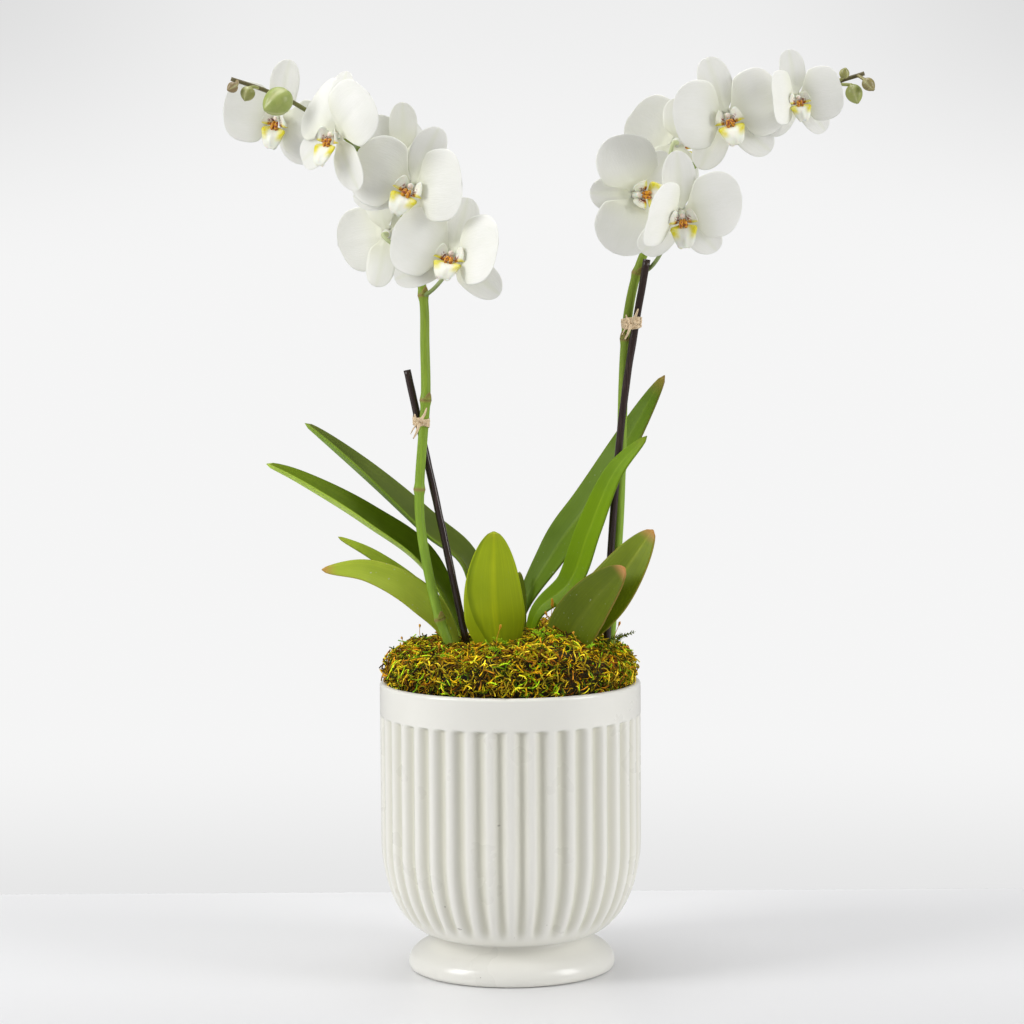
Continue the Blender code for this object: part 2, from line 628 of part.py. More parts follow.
# ---------------------------------------------------------------- assembly
pot = make_pot()
bark = make_bark()
moss = make_moss()
for stake, path in STAKES.items():
    make_stake(stake)
    points = through([Vector(p) * MM for p in path[:3]], 6)
    extended = [points[0] - (points[1] - points[0]).normalized() * 0.001] + points
    hole = rod_cutter(stake + "_hole", extended, STAKE_RADIUS + MOSS_CLEARANCE)
    cut(bark, hole)
    cut(moss, hole)
for spike, path in SPIKES.items():
    make_spike(spike)
    points = through([Vector(p) * MM for p in path[:4]], 8)
    extended = [points[0] - (points[1] - points[0]).normalized() * 0.01] + points
    cut(moss, rod_cutter(spike + "_hole", extended, SPIKE_RADIUS + MOSS_CLEARANCE))
for leaf, shape in LEAVES.items():
    make_leaf(leaf, **shape)
    cut(moss, make_leaf(leaf + "_slot", margin=MOSS_CLEARANCE, **shape))
make_tie("left_tie", "left_spike", "left_stake", 327)
make_tie("right_tie", "right_spike", "right_stake", 384)
for flower, shape in FLOWERS.items():
    make_flower(flower, **shape)
    spike = "left_spike" if flower.startswith("left") else "right_spike"
    make_flower_stalk(flower.replace("flower", "stalk"), flower, spike)
for bud, shape in BUDS.items():
    make_bud(bud, **shape)
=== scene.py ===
"""Potted orchid: the finished looks of the plant and its pot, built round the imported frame.

Metres, +Z up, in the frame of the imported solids. Sections follow the order in which the real
object is put together: pot, bark, stakes, leaves, spikes, ties, flowers, stalks, buds, moss,
and then the studio round it.
"""

import math
import random

import bpy
import numpy as np
from mathutils import Matrix, Vector, noise


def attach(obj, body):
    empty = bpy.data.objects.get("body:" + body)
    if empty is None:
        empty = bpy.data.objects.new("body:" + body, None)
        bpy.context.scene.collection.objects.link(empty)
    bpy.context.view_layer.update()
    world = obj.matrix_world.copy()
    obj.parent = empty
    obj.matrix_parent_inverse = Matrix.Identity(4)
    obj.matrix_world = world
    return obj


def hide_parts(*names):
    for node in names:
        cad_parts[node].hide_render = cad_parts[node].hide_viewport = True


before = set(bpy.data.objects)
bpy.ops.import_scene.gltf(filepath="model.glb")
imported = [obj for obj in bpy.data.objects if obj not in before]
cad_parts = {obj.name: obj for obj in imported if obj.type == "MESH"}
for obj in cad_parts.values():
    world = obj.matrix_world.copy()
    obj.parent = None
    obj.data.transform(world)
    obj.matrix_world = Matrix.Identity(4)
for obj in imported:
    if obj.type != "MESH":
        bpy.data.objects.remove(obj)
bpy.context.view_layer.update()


# ================================================================ pot
# One slip-cast earthenware body, bowl, neck and foot together, under a warm white satin glaze.
# Forty upright flutes are pressed into the wall below a plain band, the rim is a thin rounded
# lip, and the foot flares out and is hollowed underneath.
MM = 0.001
POT_HEIGHT = 0.172
BOWL_RADIUS = 0.0775
NECK_RADIUS = 0.0450
NECK_HEIGHT = 0.0215
BOWL_STRAIGHT_FROM = 0.078
POT_WALL = 0.0055
FLUTES = 40
FLUTE_DEPTH = 0.0028
FLUTE_TOP = 0.1530
POT_COLUMNS = 880


def put(tree, kind, wires=None, **settings):
    """Adds a node. wires maps an input to another node's output or to a plain value."""
    node = tree.nodes.new(kind)
    for name, value in settings.items():
        setattr(node, name, value)
    for socket, value in (wires or {}).items():
        target = node.inputs[socket]
        if isinstance(value, bpy.types.NodeSocket):
            tree.links.new(value, target)
        else:
            target.default_value = value
    return node


def sum_of(tree, operation, *values):
    """Output of one Math node."""
    wires = dict(enumerate(values))
    return put(tree, "ShaderNodeMath", wires, operation=operation).outputs[0]


def smooth_range(tree, value, low, high, start=0.0, end=1.0):
    """Output of a smooth Map Range node."""
    wires = {"Value": value, "From Min": low, "From Max": high, "To Min": start, "To Max": end}
    return put(tree, "ShaderNodeMapRange", wires, interpolation_type="SMOOTHSTEP").outputs[0]


def new_shaper(name, numbers):
    """Geometry Nodes tree with a geometry input, the named number inputs and a material."""
    tree = bpy.data.node_groups.new(name, "GeometryNodeTree")
    tree.interface.new_socket("Geometry", in_out="INPUT", socket_type="NodeSocketGeometry")
    for label, start in numbers.items():
        kind = "NodeSocketInt" if isinstance(start, int) else "NodeSocketFloat"
        tree.interface.new_socket(label, in_out="INPUT", socket_type=kind).default_value = start
    tree.interface.new_socket("Material", in_out="INPUT", socket_type="NodeSocketMaterial")
    tree.interface.new_socket("Geometry", in_out="OUTPUT", socket_type="NodeSocketGeometry")
    return tree, tree.nodes.new("NodeGroupInput"), tree.nodes.new("NodeGroupOutput")


def shape_with(obj, tree, **values):
    """Runs a Geometry Nodes tree on a piece and keeps the result as its plain mesh."""
    modifier = obj.modifiers.new(tree.name, "NODES")
    modifier.node_group = tree
    for item in tree.interface.items_tree:
        if item.in_out == "INPUT" and item.name.replace(" ", "_") in values:
            modifier[item.identifier] = values[item.name.replace(" ", "_")]
    graph = bpy.context.evaluated_depsgraph_get()
    graph.update()
    mesh = bpy.data.meshes.new_from_object(obj.evaluated_get(graph),
                                           preserve_all_data_layers=True, depsgraph=graph)
    obj.modifiers.clear()
    obj.data = mesh
    return obj


def new_piece(name, vertices, faces, material, replaced, marks=None):
    """Mesh object that rides on the plant and pot, with one number a point for each mark."""
    mesh = bpy.data.meshes.new(name)
    mesh.from_pydata([tuple(v) for v in vertices], [], [tuple(f) for f in faces])
    for mark, numbers in (marks or {}).items():
        layer = mesh.attributes.new(mark, "FLOAT", "POINT")
        layer.data.foreach_set("value", np.asarray(numbers, np.float32))
    mesh.shade_smooth()
    mesh.materials.append(material)
    obj = bpy.data.objects.new(name, mesh)
    bpy.context.scene.collection.objects.link(obj)
    return settle_piece(obj, replaced)


def settle_piece(obj, replaced):
    """Says what a finished piece rides on and stands for."""
    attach(obj, "root")
    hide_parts(*replaced)
    return obj


def new_finish(name, roughness, **shader_values):
    """Material with one Principled shader. Returns it with its tree and its shader."""
    material = bpy.data.materials.new(name)
    material.use_nodes = True
    shader = material.node_tree.nodes["Principled BSDF"]
    shader.inputs["Roughness"].default_value = roughness
    for label, value in shader_values.items():
        shader.inputs[label.replace("_", " ")].default_value = value
    return material, material.node_tree, shader


def live_socket(sockets, name="Value"):
    """The socket of this name that the node's chosen data type uses."""
    return next(s for s in sockets if s.name == name and s.enabled)


def mark_of(tree, name):
    """A number stored on each point of the piece."""
    return put(tree, "ShaderNodeAttribute", attribute_name=name).outputs["Fac"]


def place_of(tree, scale=(1.0, 1.0, 1.0)):
    """Object coordinates, stretched by a scale."""
    where = tree.nodes.new("ShaderNodeTexCoord").outputs["Object"]
    return put(tree, "ShaderNodeMapping", {"Vector": where, "Scale": scale}).outputs[0]


def speckle(tree, where, scale, detail=2.0, roughness=0.5):
    """Noise from 0 to 1."""
    wires = {"Vector": where, "Scale": scale, "Detail": detail, "Roughness": roughness}
    return put(tree, "ShaderNodeTexNoise", wires).outputs["Fac"]


def tint(tree, amount, first, second, blend_type="MIX"):
    """Colour between two colours, by an amount from 0 to 1."""
    node = put(tree, "ShaderNodeMix", data_type="RGBA", blend_type=blend_type)
    pairs = ((node.inputs[0], amount), (node.inputs[6], first), (node.inputs[7], second))
    for target, value in pairs:
        if isinstance(value, bpy.types.NodeSocket):
            tree.links.new(value, target)
        else:
            target.default_value = (*value, 1.0) if isinstance(value, tuple) else value
    return node.outputs[2]


def raised(tree, height, distance, strength=1.0):
    """Bump normal from a height."""
    wires = {"Height": height, "Distance": distance, "Strength": strength}
    return put(tree, "ShaderNodeBump", wires).outputs[0]


def blend(low, high, value):
    """Smooth step from 0 at low to 1 at high."""
    t = np.clip((np.asarray(value, float) - low) / (high - low), 0.0, 1.0)
    return t * t * (3 - 2 * t)


def through(points, count):
    """Evenly spread points on a smooth curve through the given points."""
    knots = [Vector(p) for p in points]
    knots = [2 * knots[0] - knots[1]] + knots + [2 * knots[-1] - knots[-2]]
    fine = []
    steps = 24
    for a, b, c, d in zip(knots, knots[1:], knots[2:], knots[3:]):
        for step in range(steps):
            t = step / steps
            fine.append(0.5 * (2 * b + (c - a) * t + (2 * a - 5 * b + 4 * c - d) * t * t
                               + (3 * b - a - 3 * c + d) * t ** 3))
    fine.append(knots[-2])
    fine = np.array([tuple(p) for p in fine])
    lengths = np.concatenate([[0.0], np.cumsum(np.linalg.norm(np.diff(fine, axis=0), axis=1))])
    wanted = np.linspace(0.0, lengths[-1], count)
    return np.stack([np.interp(wanted, lengths, fine[:, k]) for k in range(3)], axis=1)


def bowl_radius(height, body, neck, low, high):
    """Quarter ellipse from the neck out to the upright wall."""
    t = max(0.0, (high - height) / (high - low))
    return neck + (body - neck) * math.sqrt(max(0.0, 1 - t * t))


def pot_profile():
    """Radius and height from under the foot, up the outside, over the rim and down inside."""
    rows = [(0.0, 0.0042), (0.020, 0.0042), (0.040, 0.0042), (0.0500, 0.0038), (0.0535, 0.0010),
            (0.0545, 0.0)]
    foot = through([(0.0585, 0.0, 0.0), (0.0607, 0.0008, 0.0), (0.0615, 0.0032, 0.0),
                    (0.0612, 0.0062, 0.0), (0.0596, 0.0095, 0.0), (0.0560, 0.0128, 0.0),
                    (0.0508, 0.0158, 0.0), (0.0468, 0.0185, 0.0), (0.0455, 0.0208, 0.0)], 26)
    rows += [(r, z) for r, z, _ in foot]
    sweep = [1 - math.cos(math.pi / 2 * k / 34) for k in range(1, 35)]
    heights = [NECK_HEIGHT + (BOWL_STRAIGHT_FROM - NECK_HEIGHT) * s for s in sweep]
    rows += [(bowl_radius(z, BOWL_RADIUS, NECK_RADIUS, NECK_HEIGHT, BOWL_STRAIGHT_FROM), z)
             for z in heights]
    rows += [(BOWL_RADIUS, z) for z in (0.088, 0.100, 0.112, 0.124, 0.136, 0.144, 0.1475,
                                        0.1495, 0.1507, 0.1516, 0.1523, 0.1530, 0.1537,
                                        0.1545, 0.160, 0.166)]
    lip = BOWL_RADIUS - 0.0024
    for k in range(13):
        angle = math.pi * k / 12
        rows.append((lip + 0.0024 * math.cos(angle), POT_HEIGHT - 0.0020 + 0.0020
                     * math.sin(angle)))
    inner = BOWL_RADIUS - POT_WALL
    rows += [(inner, POT_HEIGHT - 0.0045), (inner, 0.150), (inner, 0.110),
             (inner, BOWL_STRAIGHT_FROM), (inner - 0.004, 0.056), (inner - 0.014, 0.040),
             (NECK_RADIUS - 0.014, 0.030), (0.015, 0.030), (0.0, 0.030)]
    return rows


# The glaze pools in the flutes, where it looks a little greener, and thins on their ridges; the
# darker tint in the flutes is also painted shade.
glaze, tree, shader = new_finish("satin_glaze", 0.3, IOR=1.5, Coat_Weight=0.35,
                                 Coat_Roughness=0.12)
pooled_glaze_and_shade = mark_of(tree, "valley")
cloud = speckle(tree, place_of(tree), 38.0, 3.0)
ivory = tint(tree, cloud, (0.835, 0.824, 0.762), (0.850, 0.840, 0.782))
# painted shade: the flutes are darkened as well as tinted greener by the pooled glaze
colour = tint(tree, sum_of(tree, "MULTIPLY", pooled_glaze_and_shade, 0.85), ivory, (0.640, 0.628, 0.515))
pinholes = smooth_range(tree, speckle(tree, place_of(tree), 300.0, 0.0), 0.880, 0.890)
colour = tint(tree, sum_of(tree, "MULTIPLY", pinholes, 0.5), colour, (0.25, 0.22, 0.18))
tree.links.new(colour, shader.inputs["Base Color"])
rough = smooth_range(tree, cloud, 0.3, 0.7, 0.27, 0.31)
tree.links.new(rough, shader.inputs["Roughness"])
orange_peel = speckle(tree, place_of(tree), 160.0, 2.0)
tree.links.new(raised(tree, orange_peel, 0.0002, 0.15), shader.inputs["Normal"])

# Each row of the grid is one point of the profile, turned round the axis. A ridge and a valley
# follow a raised cosine, and the ridges wander a little, as they do when pressed by hand.
shaper, given, result = new_shaper("fluted_pot", {"Columns": 64, "Flutes": 12, "Flute Depth": 0.0,
                                                  "Flute Top": 0.0, "Flute Foot": 0.0,
                                                  "Ridge Breadth": 1.0, "Hand Wobble": 0.0})
outline = given.outputs["Geometry"]
rows = put(shaper, "GeometryNodeAttributeDomainSize", {0: outline}).outputs["Point Count"]
seam_column = sum_of(shaper, "ADD", given.outputs["Columns"], 1)
grid = put(shaper, "GeometryNodeMeshGrid", {"Size X": 1.0, "Size Y": 1.0,
                                            "Vertices X": seam_column, "Vertices Y": rows})
spot = put(shaper, "ShaderNodeSeparateXYZ",
           {0: shaper.nodes.new("GeometryNodeInputPosition").outputs[0]})
angle = sum_of(shaper, "MULTIPLY", sum_of(shaper, "ADD", spot.outputs["X"], 0.5), 2 * math.pi)
row_number = sum_of(shaper, "ROUND", sum_of(
    shaper, "MULTIPLY", sum_of(shaper, "ADD", spot.outputs["Y"], 0.5),
    sum_of(shaper, "SUBTRACT", rows, 1)))
outline_place = shaper.nodes.new("GeometryNodeInputPosition").outputs[0]
sampled = put(shaper, "GeometryNodeSampleIndex", data_type="FLOAT_VECTOR", domain="POINT")
shaper.links.new(outline, sampled.inputs["Geometry"])
shaper.links.new(outline_place, live_socket(sampled.inputs))
shaper.links.new(row_number, sampled.inputs["Index"])
profile = put(shaper, "ShaderNodeSeparateXYZ", {0: sampled.outputs[0]})
radius, height, outside = (profile.outputs[k] for k in ("X", "Z", "Y"))
cosine, sine = sum_of(shaper, "COSINE", angle), sum_of(shaper, "SINE", angle)
heading = put(shaper, "ShaderNodeCombineXYZ", {0: cosine, 1: sine, 2: 0.0}).outputs[0]
wobble = sum_of(shaper, "SUBTRACT", put(shaper, "ShaderNodeTexNoise", {
    "Vector": heading, "Scale": 5.0, "Detail": 1.0}).outputs["Fac"], 0.5)
phase = sum_of(shaper, "ADD", sum_of(shaper, "MULTIPLY", angle, given.outputs["Flutes"]),
               sum_of(shaper, "MULTIPLY", wobble, given.outputs["Hand Wobble"]))
wave = sum_of(shaper, "SUBTRACT", 0.5, sum_of(shaper, "MULTIPLY", sum_of(
    shaper, "COSINE", phase), 0.5))
wave = sum_of(shaper, "POWER", wave, given.outputs["Ridge Breadth"])
under_band = smooth_range(shaper, height, sum_of(shaper, "SUBTRACT", given.outputs["Flute Top"],
                                                 0.0013), given.outputs["Flute Top"], 1.0, 0.0)
above_neck = smooth_range(shaper, height, given.outputs["Flute Foot"],
                          sum_of(shaper, "ADD", given.outputs["Flute Foot"], 0.011))
hollow = sum_of(shaper, "MULTIPLY", sum_of(shaper, "MULTIPLY", under_band, above_neck),
                sum_of(shaper, "MULTIPLY", wave, outside))
radius = sum_of(shaper, "SUBTRACT", radius,
                sum_of(shaper, "MULTIPLY", hollow, given.outputs["Flute Depth"]))
place = put(shaper, "ShaderNodeCombineXYZ", {0: sum_of(shaper, "MULTIPLY", radius, cosine),
                                             1: sum_of(shaper, "MULTIPLY", radius, sine),
                                             2: height}).outputs[0]
marked = put(shaper, "GeometryNodeStoreNamedAttribute", {"Geometry": grid.outputs["Mesh"],
                                                         "Name": "valley"}, domain="POINT")
shaper.links.new(hollow, live_socket(marked.inputs))
turned = put(shaper, "GeometryNodeSetPosition", {"Geometry": marked.outputs[0],
                                                 "Position": place})
closed = put(shaper, "GeometryNodeMergeByDistance", {"Geometry": turned.outputs[0],
                                                     "Distance": 0.000005})
smooth = put(shaper, "GeometryNodeSetShadeSmooth", {"Geometry": closed.outputs[0]})
real = put(shaper, "GeometryNodeRealizeInstances", {"Geometry": smooth.outputs[0]})
done = put(shaper, "GeometryNodeSetMaterial", {"Geometry": real.outputs[0],
                                               "Material": given.outputs["Material"]})
shaper.links.new(done.outputs[0], result.inputs[0])

outline_mesh = bpy.data.meshes.new("pot_casting")
profile_rows = pot_profile()
fluted_rows = [1.0 if abs(r - bowl_radius(z, BOWL_RADIUS, NECK_RADIUS, NECK_HEIGHT,
                                          BOWL_STRAIGHT_FROM)) < 0.0003 else 0.0
               for r, z in profile_rows]
outline_mesh.from_pydata([(r, used, z) for (r, z), used in zip(profile_rows, fluted_rows)],
                         [(k, k + 1) for k in range(len(profile_rows) - 1)], [])
pot = bpy.data.objects.new("pot_casting", outline_mesh)
bpy.context.scene.collection.objects.link(pot)
shape_with(pot, shaper, Columns=POT_COLUMNS, Flutes=FLUTES, Flute_Depth=FLUTE_DEPTH,
           Flute_Top=FLUTE_TOP, Flute_Foot=NECK_HEIGHT + 0.0035, Ridge_Breadth=1.3,
           Hand_Wobble=0.9, Material=glaze)
settle_piece(pot, ["pot"])


# ================================================================ potting bark
# The plant's roots stand in chips of fir bark that fill the pot under the moss. It is one plug
# here, brown and rough, and the frame's own solid shows it.
bark, tree, shader = new_finish("fir_bark", 0.95)
chips = put(tree, "ShaderNodeTexVoronoi", {"Vector": place_of(tree), "Scale": 140.0})
shade = sum_of(tree, "MULTIPLY", chips.outputs["Distance"], 1.6)
tree.links.new(tint(tree, shade, (0.090, 0.045, 0.022), (0.20, 0.115, 0.060)),
               shader.inputs["Base Color"])
tree.links.new(raised(tree, chips.outputs["Distance"], 0.003), shader.inputs["Normal"])
bark_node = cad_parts["potting_bark"]
bark_node.data.materials.clear()
bark_node.data.materials.append(bark)


# ================================================================ stakes
# Two thin split-wood stakes, stained almost black and lacquered, pushed down through the moss
# into the bark. Both bend a little with the weight of the spike that is tied to them.
STAKE_RADIUS = 0.0022
STAKE_ROWS = 90
STAKES = {
    "left_stake": [(-3, -6.3, 85), (-25, -6.3, 192), (-42, -6.3, 275), (-59.5, -6.3, 357)],
    "right_stake": [(54, -7.6, 85), (57.5, -7.6, 197), (61, -7.6, 265), (68.5, -7.6, 343),
                    (81.5, -7.6, 421)],
}


def ring_faces(count, sides):
    """Faces between rings of points, and fans to the two end points that come after them."""
    faces = []
    for i in range(count - 1):
        for k in range(sides):
            n = (k + 1) % sides
            faces.append((i * sides + k, i * sides + n, (i + 1) * sides + n, (i + 1) * sides + k))
    first, last = count * sides, count * sides + 1
    for k in range(sides):
        n = (k + 1) % sides
        faces.append((first, n, k))
        faces.append((last, (count - 1) * sides + k, (count - 1) * sides + n))
    return faces


def tube(points, radii, sides, ripple=None):
    """Vertices, faces and place along of a round tube through points, closed at both ends."""
    points, radii = np.asarray(points, float), np.asarray(radii, float)
    ahead = np.gradient(points, axis=0)
    ahead /= np.linalg.norm(ahead, axis=1)[:, None]
    side = np.cross(ahead[0], (0.0, 1.0, 0.0))
    if np.linalg.norm(side) < 0.3:
        side = np.cross(ahead[0], (1.0, 0.0, 0.0))
    rings = []
    turns = 2 * np.pi * np.arange(sides) / sides
    for point, way, radius in zip(points, ahead, radii):
        side = side - side.dot(way) * way
        side /= np.linalg.norm(side)
        other = np.cross(way, side)
        rings.append(point + radius * (np.cos(turns)[:, None] * side
                                       + np.sin(turns)[:, None] * other))
    rings = np.array(rings)
    if ripple is not None:
        rings = rings + ripple(rings, points)
    count = len(points)
    vertices = np.concatenate([rings.reshape(-1, 3), points[:1], points[-1:]])
    along = np.concatenate([np.repeat(np.linspace(0, 1, count), sides), [0.0, 1.0]])
    return vertices, ring_faces(count, sides), along


lacquer, tree, shader = new_finish("dark_lacquered_wood", 0.3, Coat_Weight=0.7,
                                   Coat_Roughness=0.05, Specular_IOR_Level=0.1)
grain = speckle(tree, place_of(tree, (900.0, 900.0, 22.0)), 1.0, 4.0, 0.7)
streak = smooth_range(tree, grain, 0.52, 0.80)
tree.links.new(tint(tree, streak, (0.026, 0.013, 0.010), (0.105, 0.060, 0.048)),
               shader.inputs["Base Color"])
tree.links.new(smooth_range(tree, grain, 0.3, 0.7, 0.20, 0.42), shader.inputs["Roughness"])
tree.links.new(raised(tree, grain, 0.0002, 0.6), shader.inputs["Normal"])


def split_wood(rings, points):
    """The slightly uneven faces that splitting leaves."""
    out = rings - points[:, None, :]
    size = np.array([[noise.noise(Vector((v[0] * 500, v[1] * 500, v[2] * 25))) for v in ring]
                     for ring in rings])
    return out * size[..., None] * 0.10


for name, path in STAKES.items():
    line = through([Vector(p) * MM for p in path], STAKE_ROWS)
    body, faces, along = tube(line, np.full(STAKE_ROWS, STAKE_RADIUS), 14, split_wood)
    new_piece(name + "_wood", body, faces, lacquer, [name])


# ================================================================ leaves
# Ten thick, leathery strap leaves. Each folds a little along its midrib, is channelled where it
# leaves the moss and ends blunt. The blade is solid tissue, so its margin is rounded. Young
# leaves are yellow green, old ones dark, and a few have a pink margin and pale water specks.
LEAF_THICKNESS = 0.0020
LEAF_ROWS = 64
LEAF_COLUMNS = 25
STEEPEST_FOLD = 48.0


def across_steps(count):
    """Places from margin to margin, the outermost close to the margin so that it stays thin."""
    return np.concatenate([[-1.0], np.linspace(-0.975, 0.975, count - 2), [1.0]])


def along_steps(count):
    """Places from base to tip, the last but one close to the tip."""
    return np.concatenate([np.linspace(0.0, 0.985, count - 1), [1.0]])


def sheet_body(grid, thickness, across_line=None, along_line=None):
    """Closed thin body on a grid of points, with marks for the place along, across and under."""
    rows, columns = grid.shape[:2]
    normal = np.cross(np.gradient(grid, axis=0), np.gradient(grid, axis=1))
    normal /= np.maximum(np.linalg.norm(normal, axis=2), 1e-12)[..., None]
    upper = grid + normal * thickness[..., None] / 2
    lower = grid - normal * thickness[..., None] / 2
    upper[0], upper[-1], upper[:, 0], upper[:, -1] = grid[0], grid[-1], grid[:, 0], grid[:, -1]
    top = np.arange(rows * columns).reshape(rows, columns)
    bottom = top.copy()
    inner_count = (rows - 2) * (columns - 2)
    bottom[1:-1, 1:-1] = rows * columns + np.arange(inner_count).reshape(rows - 2, columns - 2)
    vertices = np.concatenate([upper.reshape(-1, 3), lower[1:-1, 1:-1].reshape(-1, 3)])
    faces = []
    for i in range(rows - 1):
        for j in range(columns - 1):
            faces.append((top[i, j], top[i + 1, j], top[i + 1, j + 1], top[i, j + 1]))
            faces.append((bottom[i, j], bottom[i, j + 1], bottom[i + 1, j + 1], bottom[i + 1, j]))
    across_line = np.linspace(-1, 1, columns) if across_line is None else across_line
    along_line = np.linspace(0, 1, rows) if along_line is None else along_line
    along = np.repeat(along_line, columns).reshape(rows, columns)
    across = np.tile(across_line, rows).reshape(rows, columns)
    marks = {"along": np.concatenate([along.ravel(), along[1:-1, 1:-1].ravel()]),
             "across": np.concatenate([across.ravel(), across[1:-1, 1:-1].ravel()]),
             "under": np.concatenate([np.zeros(rows * columns), np.ones(inner_count)])}
    return vertices, faces, marks


def leaf_grid(path, width, fold, face, base=0.30):
    """Points of the middle of a leaf's blade, and its thickness at each."""
    points = through([Vector(p) * MM for p in path], LEAF_ROWS)
    ahead = np.gradient(points, axis=0)
    ahead /= np.linalg.norm(ahead, axis=1)[:, None]
    start, end = (np.array(f) / np.linalg.norm(f) for f in face)
    s = np.linspace(0, 1, LEAF_ROWS)
    upper = start[None] * (1 - s)[:, None] + end[None] * s[:, None]
    upper -= (upper * ahead).sum(1)[:, None] * ahead
    upper /= np.linalg.norm(upper, axis=1)[:, None]
    side = np.cross(ahead, upper)
    body = np.sin(np.pi * np.minimum(s, 0.9995) ** 1.1) ** 0.55
    stem = base + (1 - base) * blend(0.15, 0.55, s)
    half = width * MM / 2 * np.maximum(np.maximum(body * stem, base * (1 - blend(0.1, 0.3, s))),
                                       0.01)
    # the two halves fold up most at the base, where the blade is channelled
    slope = fold * (1.0 + 0.9 * (1 - blend(0.0, 0.35, s)))
    slope = np.radians(np.minimum(slope, STEEPEST_FOLD))
    t = across_steps(LEAF_COLUMNS)
    rounded = np.sqrt(t * t + 0.02) - math.sqrt(0.02)
    grid = (points[:, None] + side[:, None] * (half * np.cos(slope))[:, None, None]
            * t[None, :, None] + upper[:, None] * (half * np.sin(slope))[:, None, None]
            * rounded[None, :, None])
    thick = LEAF_THICKNESS * (0.55 + 0.45 * (1 - np.abs(t)) ** 0.7)
    return grid, np.tile(thick, (LEAF_ROWS, 1))


# Tissue shared by all the leaves: an upper and an under colour, the fine veins that run from
# base to tip, a midrib, a margin that can redden, and pale specks dried on the surface.
tissue = bpy.data.node_groups.new("leaf_tissue", "ShaderNodeTree")
for label, start in (("Upper", (0.1, 0.2, 0.02, 1)), ("Under", (0.2, 0.3, 0.05, 1)),
                     ("Tip", (0.3, 0.1, 0.05, 1))):
    tissue.interface.new_socket(label, in_out="INPUT",
                                socket_type="NodeSocketColor").default_value = start
for label, start in (("Redness", 0.2), ("Specks", 0.2), ("Midrib", 0.4), ("Crease", 0.0)):
    tissue.interface.new_socket(label, in_out="INPUT",
                                socket_type="NodeSocketFloat").default_value = start
for label, kind in (("Color", "NodeSocketColor"), ("Roughness", "NodeSocketFloat"),
                    ("Height", "NodeSocketFloat")):
    tissue.interface.new_socket(label, in_out="OUTPUT", socket_type=kind)
given, result = tissue.nodes.new("NodeGroupInput"), tissue.nodes.new("NodeGroupOutput")
along, across, under = (mark_of(tissue, name) for name in ("along", "across", "under"))
where = place_of(tissue)
veins = put(tissue, "ShaderNodeCombineXYZ", {
    0: sum_of(tissue, "MULTIPLY", across, 16.0), 1: sum_of(tissue, "MULTIPLY", along, 1.6),
    2: sum_of(tissue, "MULTIPLY", under, 3.0)}).outputs[0]
vein = speckle(tissue, veins, 1.0, 3.0, 0.6)
blotch = speckle(tissue, where, 34.0, 3.0)
colour = tint(tissue, under, given.outputs["Upper"], given.outputs["Under"])
darker = tint(tissue, 1.0, colour, (0.80, 0.83, 0.70), "MULTIPLY")
colour = tint(tissue, smooth_range(tissue, blotch, 0.35, 0.75), colour, darker)
lighter = tint(tissue, 1.0, colour, (1.25, 1.20, 1.10), "MULTIPLY")
colour = tint(tissue, smooth_range(tissue, vein, 0.45, 0.70, 0.0, 0.7), colour, lighter)
from_rib = sum_of(tissue, "ABSOLUTE", across)
rib = sum_of(tissue, "MULTIPLY", smooth_range(tissue, from_rib, 0.02, 0.16, 1.0, 0.0),
             given.outputs["Midrib"])
colour = tint(tissue, rib, colour, tint(tissue, 1.0, colour, (1.5, 1.35, 1.15), "MULTIPLY"))
# painted shadow of a fold that runs from one margin down to the midrib, laid on the fold's inner
# side
fold_line = smooth_range(tissue, along, 0.12, 0.80, 0.10, 0.95)
past = sum_of(tissue, "SUBTRACT", across, fold_line)
painted_crease_shadow = sum_of(tissue, "MULTIPLY", smooth_range(tissue, past, -0.24, -0.04),
                smooth_range(tissue, past, 0.0, 0.03, given.outputs["Crease"], 0.0))
colour = tint(tissue, painted_crease_shadow, colour, tint(tissue, 1.0, colour, (0.62, 0.66, 0.55), "MULTIPLY"))
edge = sum_of(tissue, "MULTIPLY", smooth_range(tissue, from_rib, 0.93, 1.0),
              smooth_range(tissue, along, 0.2, 0.9, 0.05, 0.35))
end = smooth_range(tissue, along, 0.93, 1.0)
reddened = sum_of(tissue, "MULTIPLY", sum_of(tissue, "MAXIMUM", edge, end),
                  given.outputs["Redness"])
colour = tint(tissue, reddened, colour, given.outputs["Tip"])
flecks = smooth_range(tissue, speckle(tissue, where, 560.0, 1.0), 0.70, 0.78)
patches = smooth_range(tissue, speckle(tissue, where, 45.0, 1.0), 0.45, 0.6)
flecks = sum_of(tissue, "MULTIPLY", sum_of(tissue, "MULTIPLY", flecks, patches),
                given.outputs["Specks"])
colour = tint(tissue, flecks, colour, (0.50, 0.53, 0.34))
tissue.links.new(colour, result.inputs["Color"])
tissue.links.new(smooth_range(tissue, blotch, 0.3, 0.7, 0.30, 0.44), result.inputs["Roughness"])
tissue.links.new(sum_of(tissue, "SUBTRACT", vein, sum_of(tissue, "MULTIPLY", rib, 0.8)),
                 result.inputs["Height"])


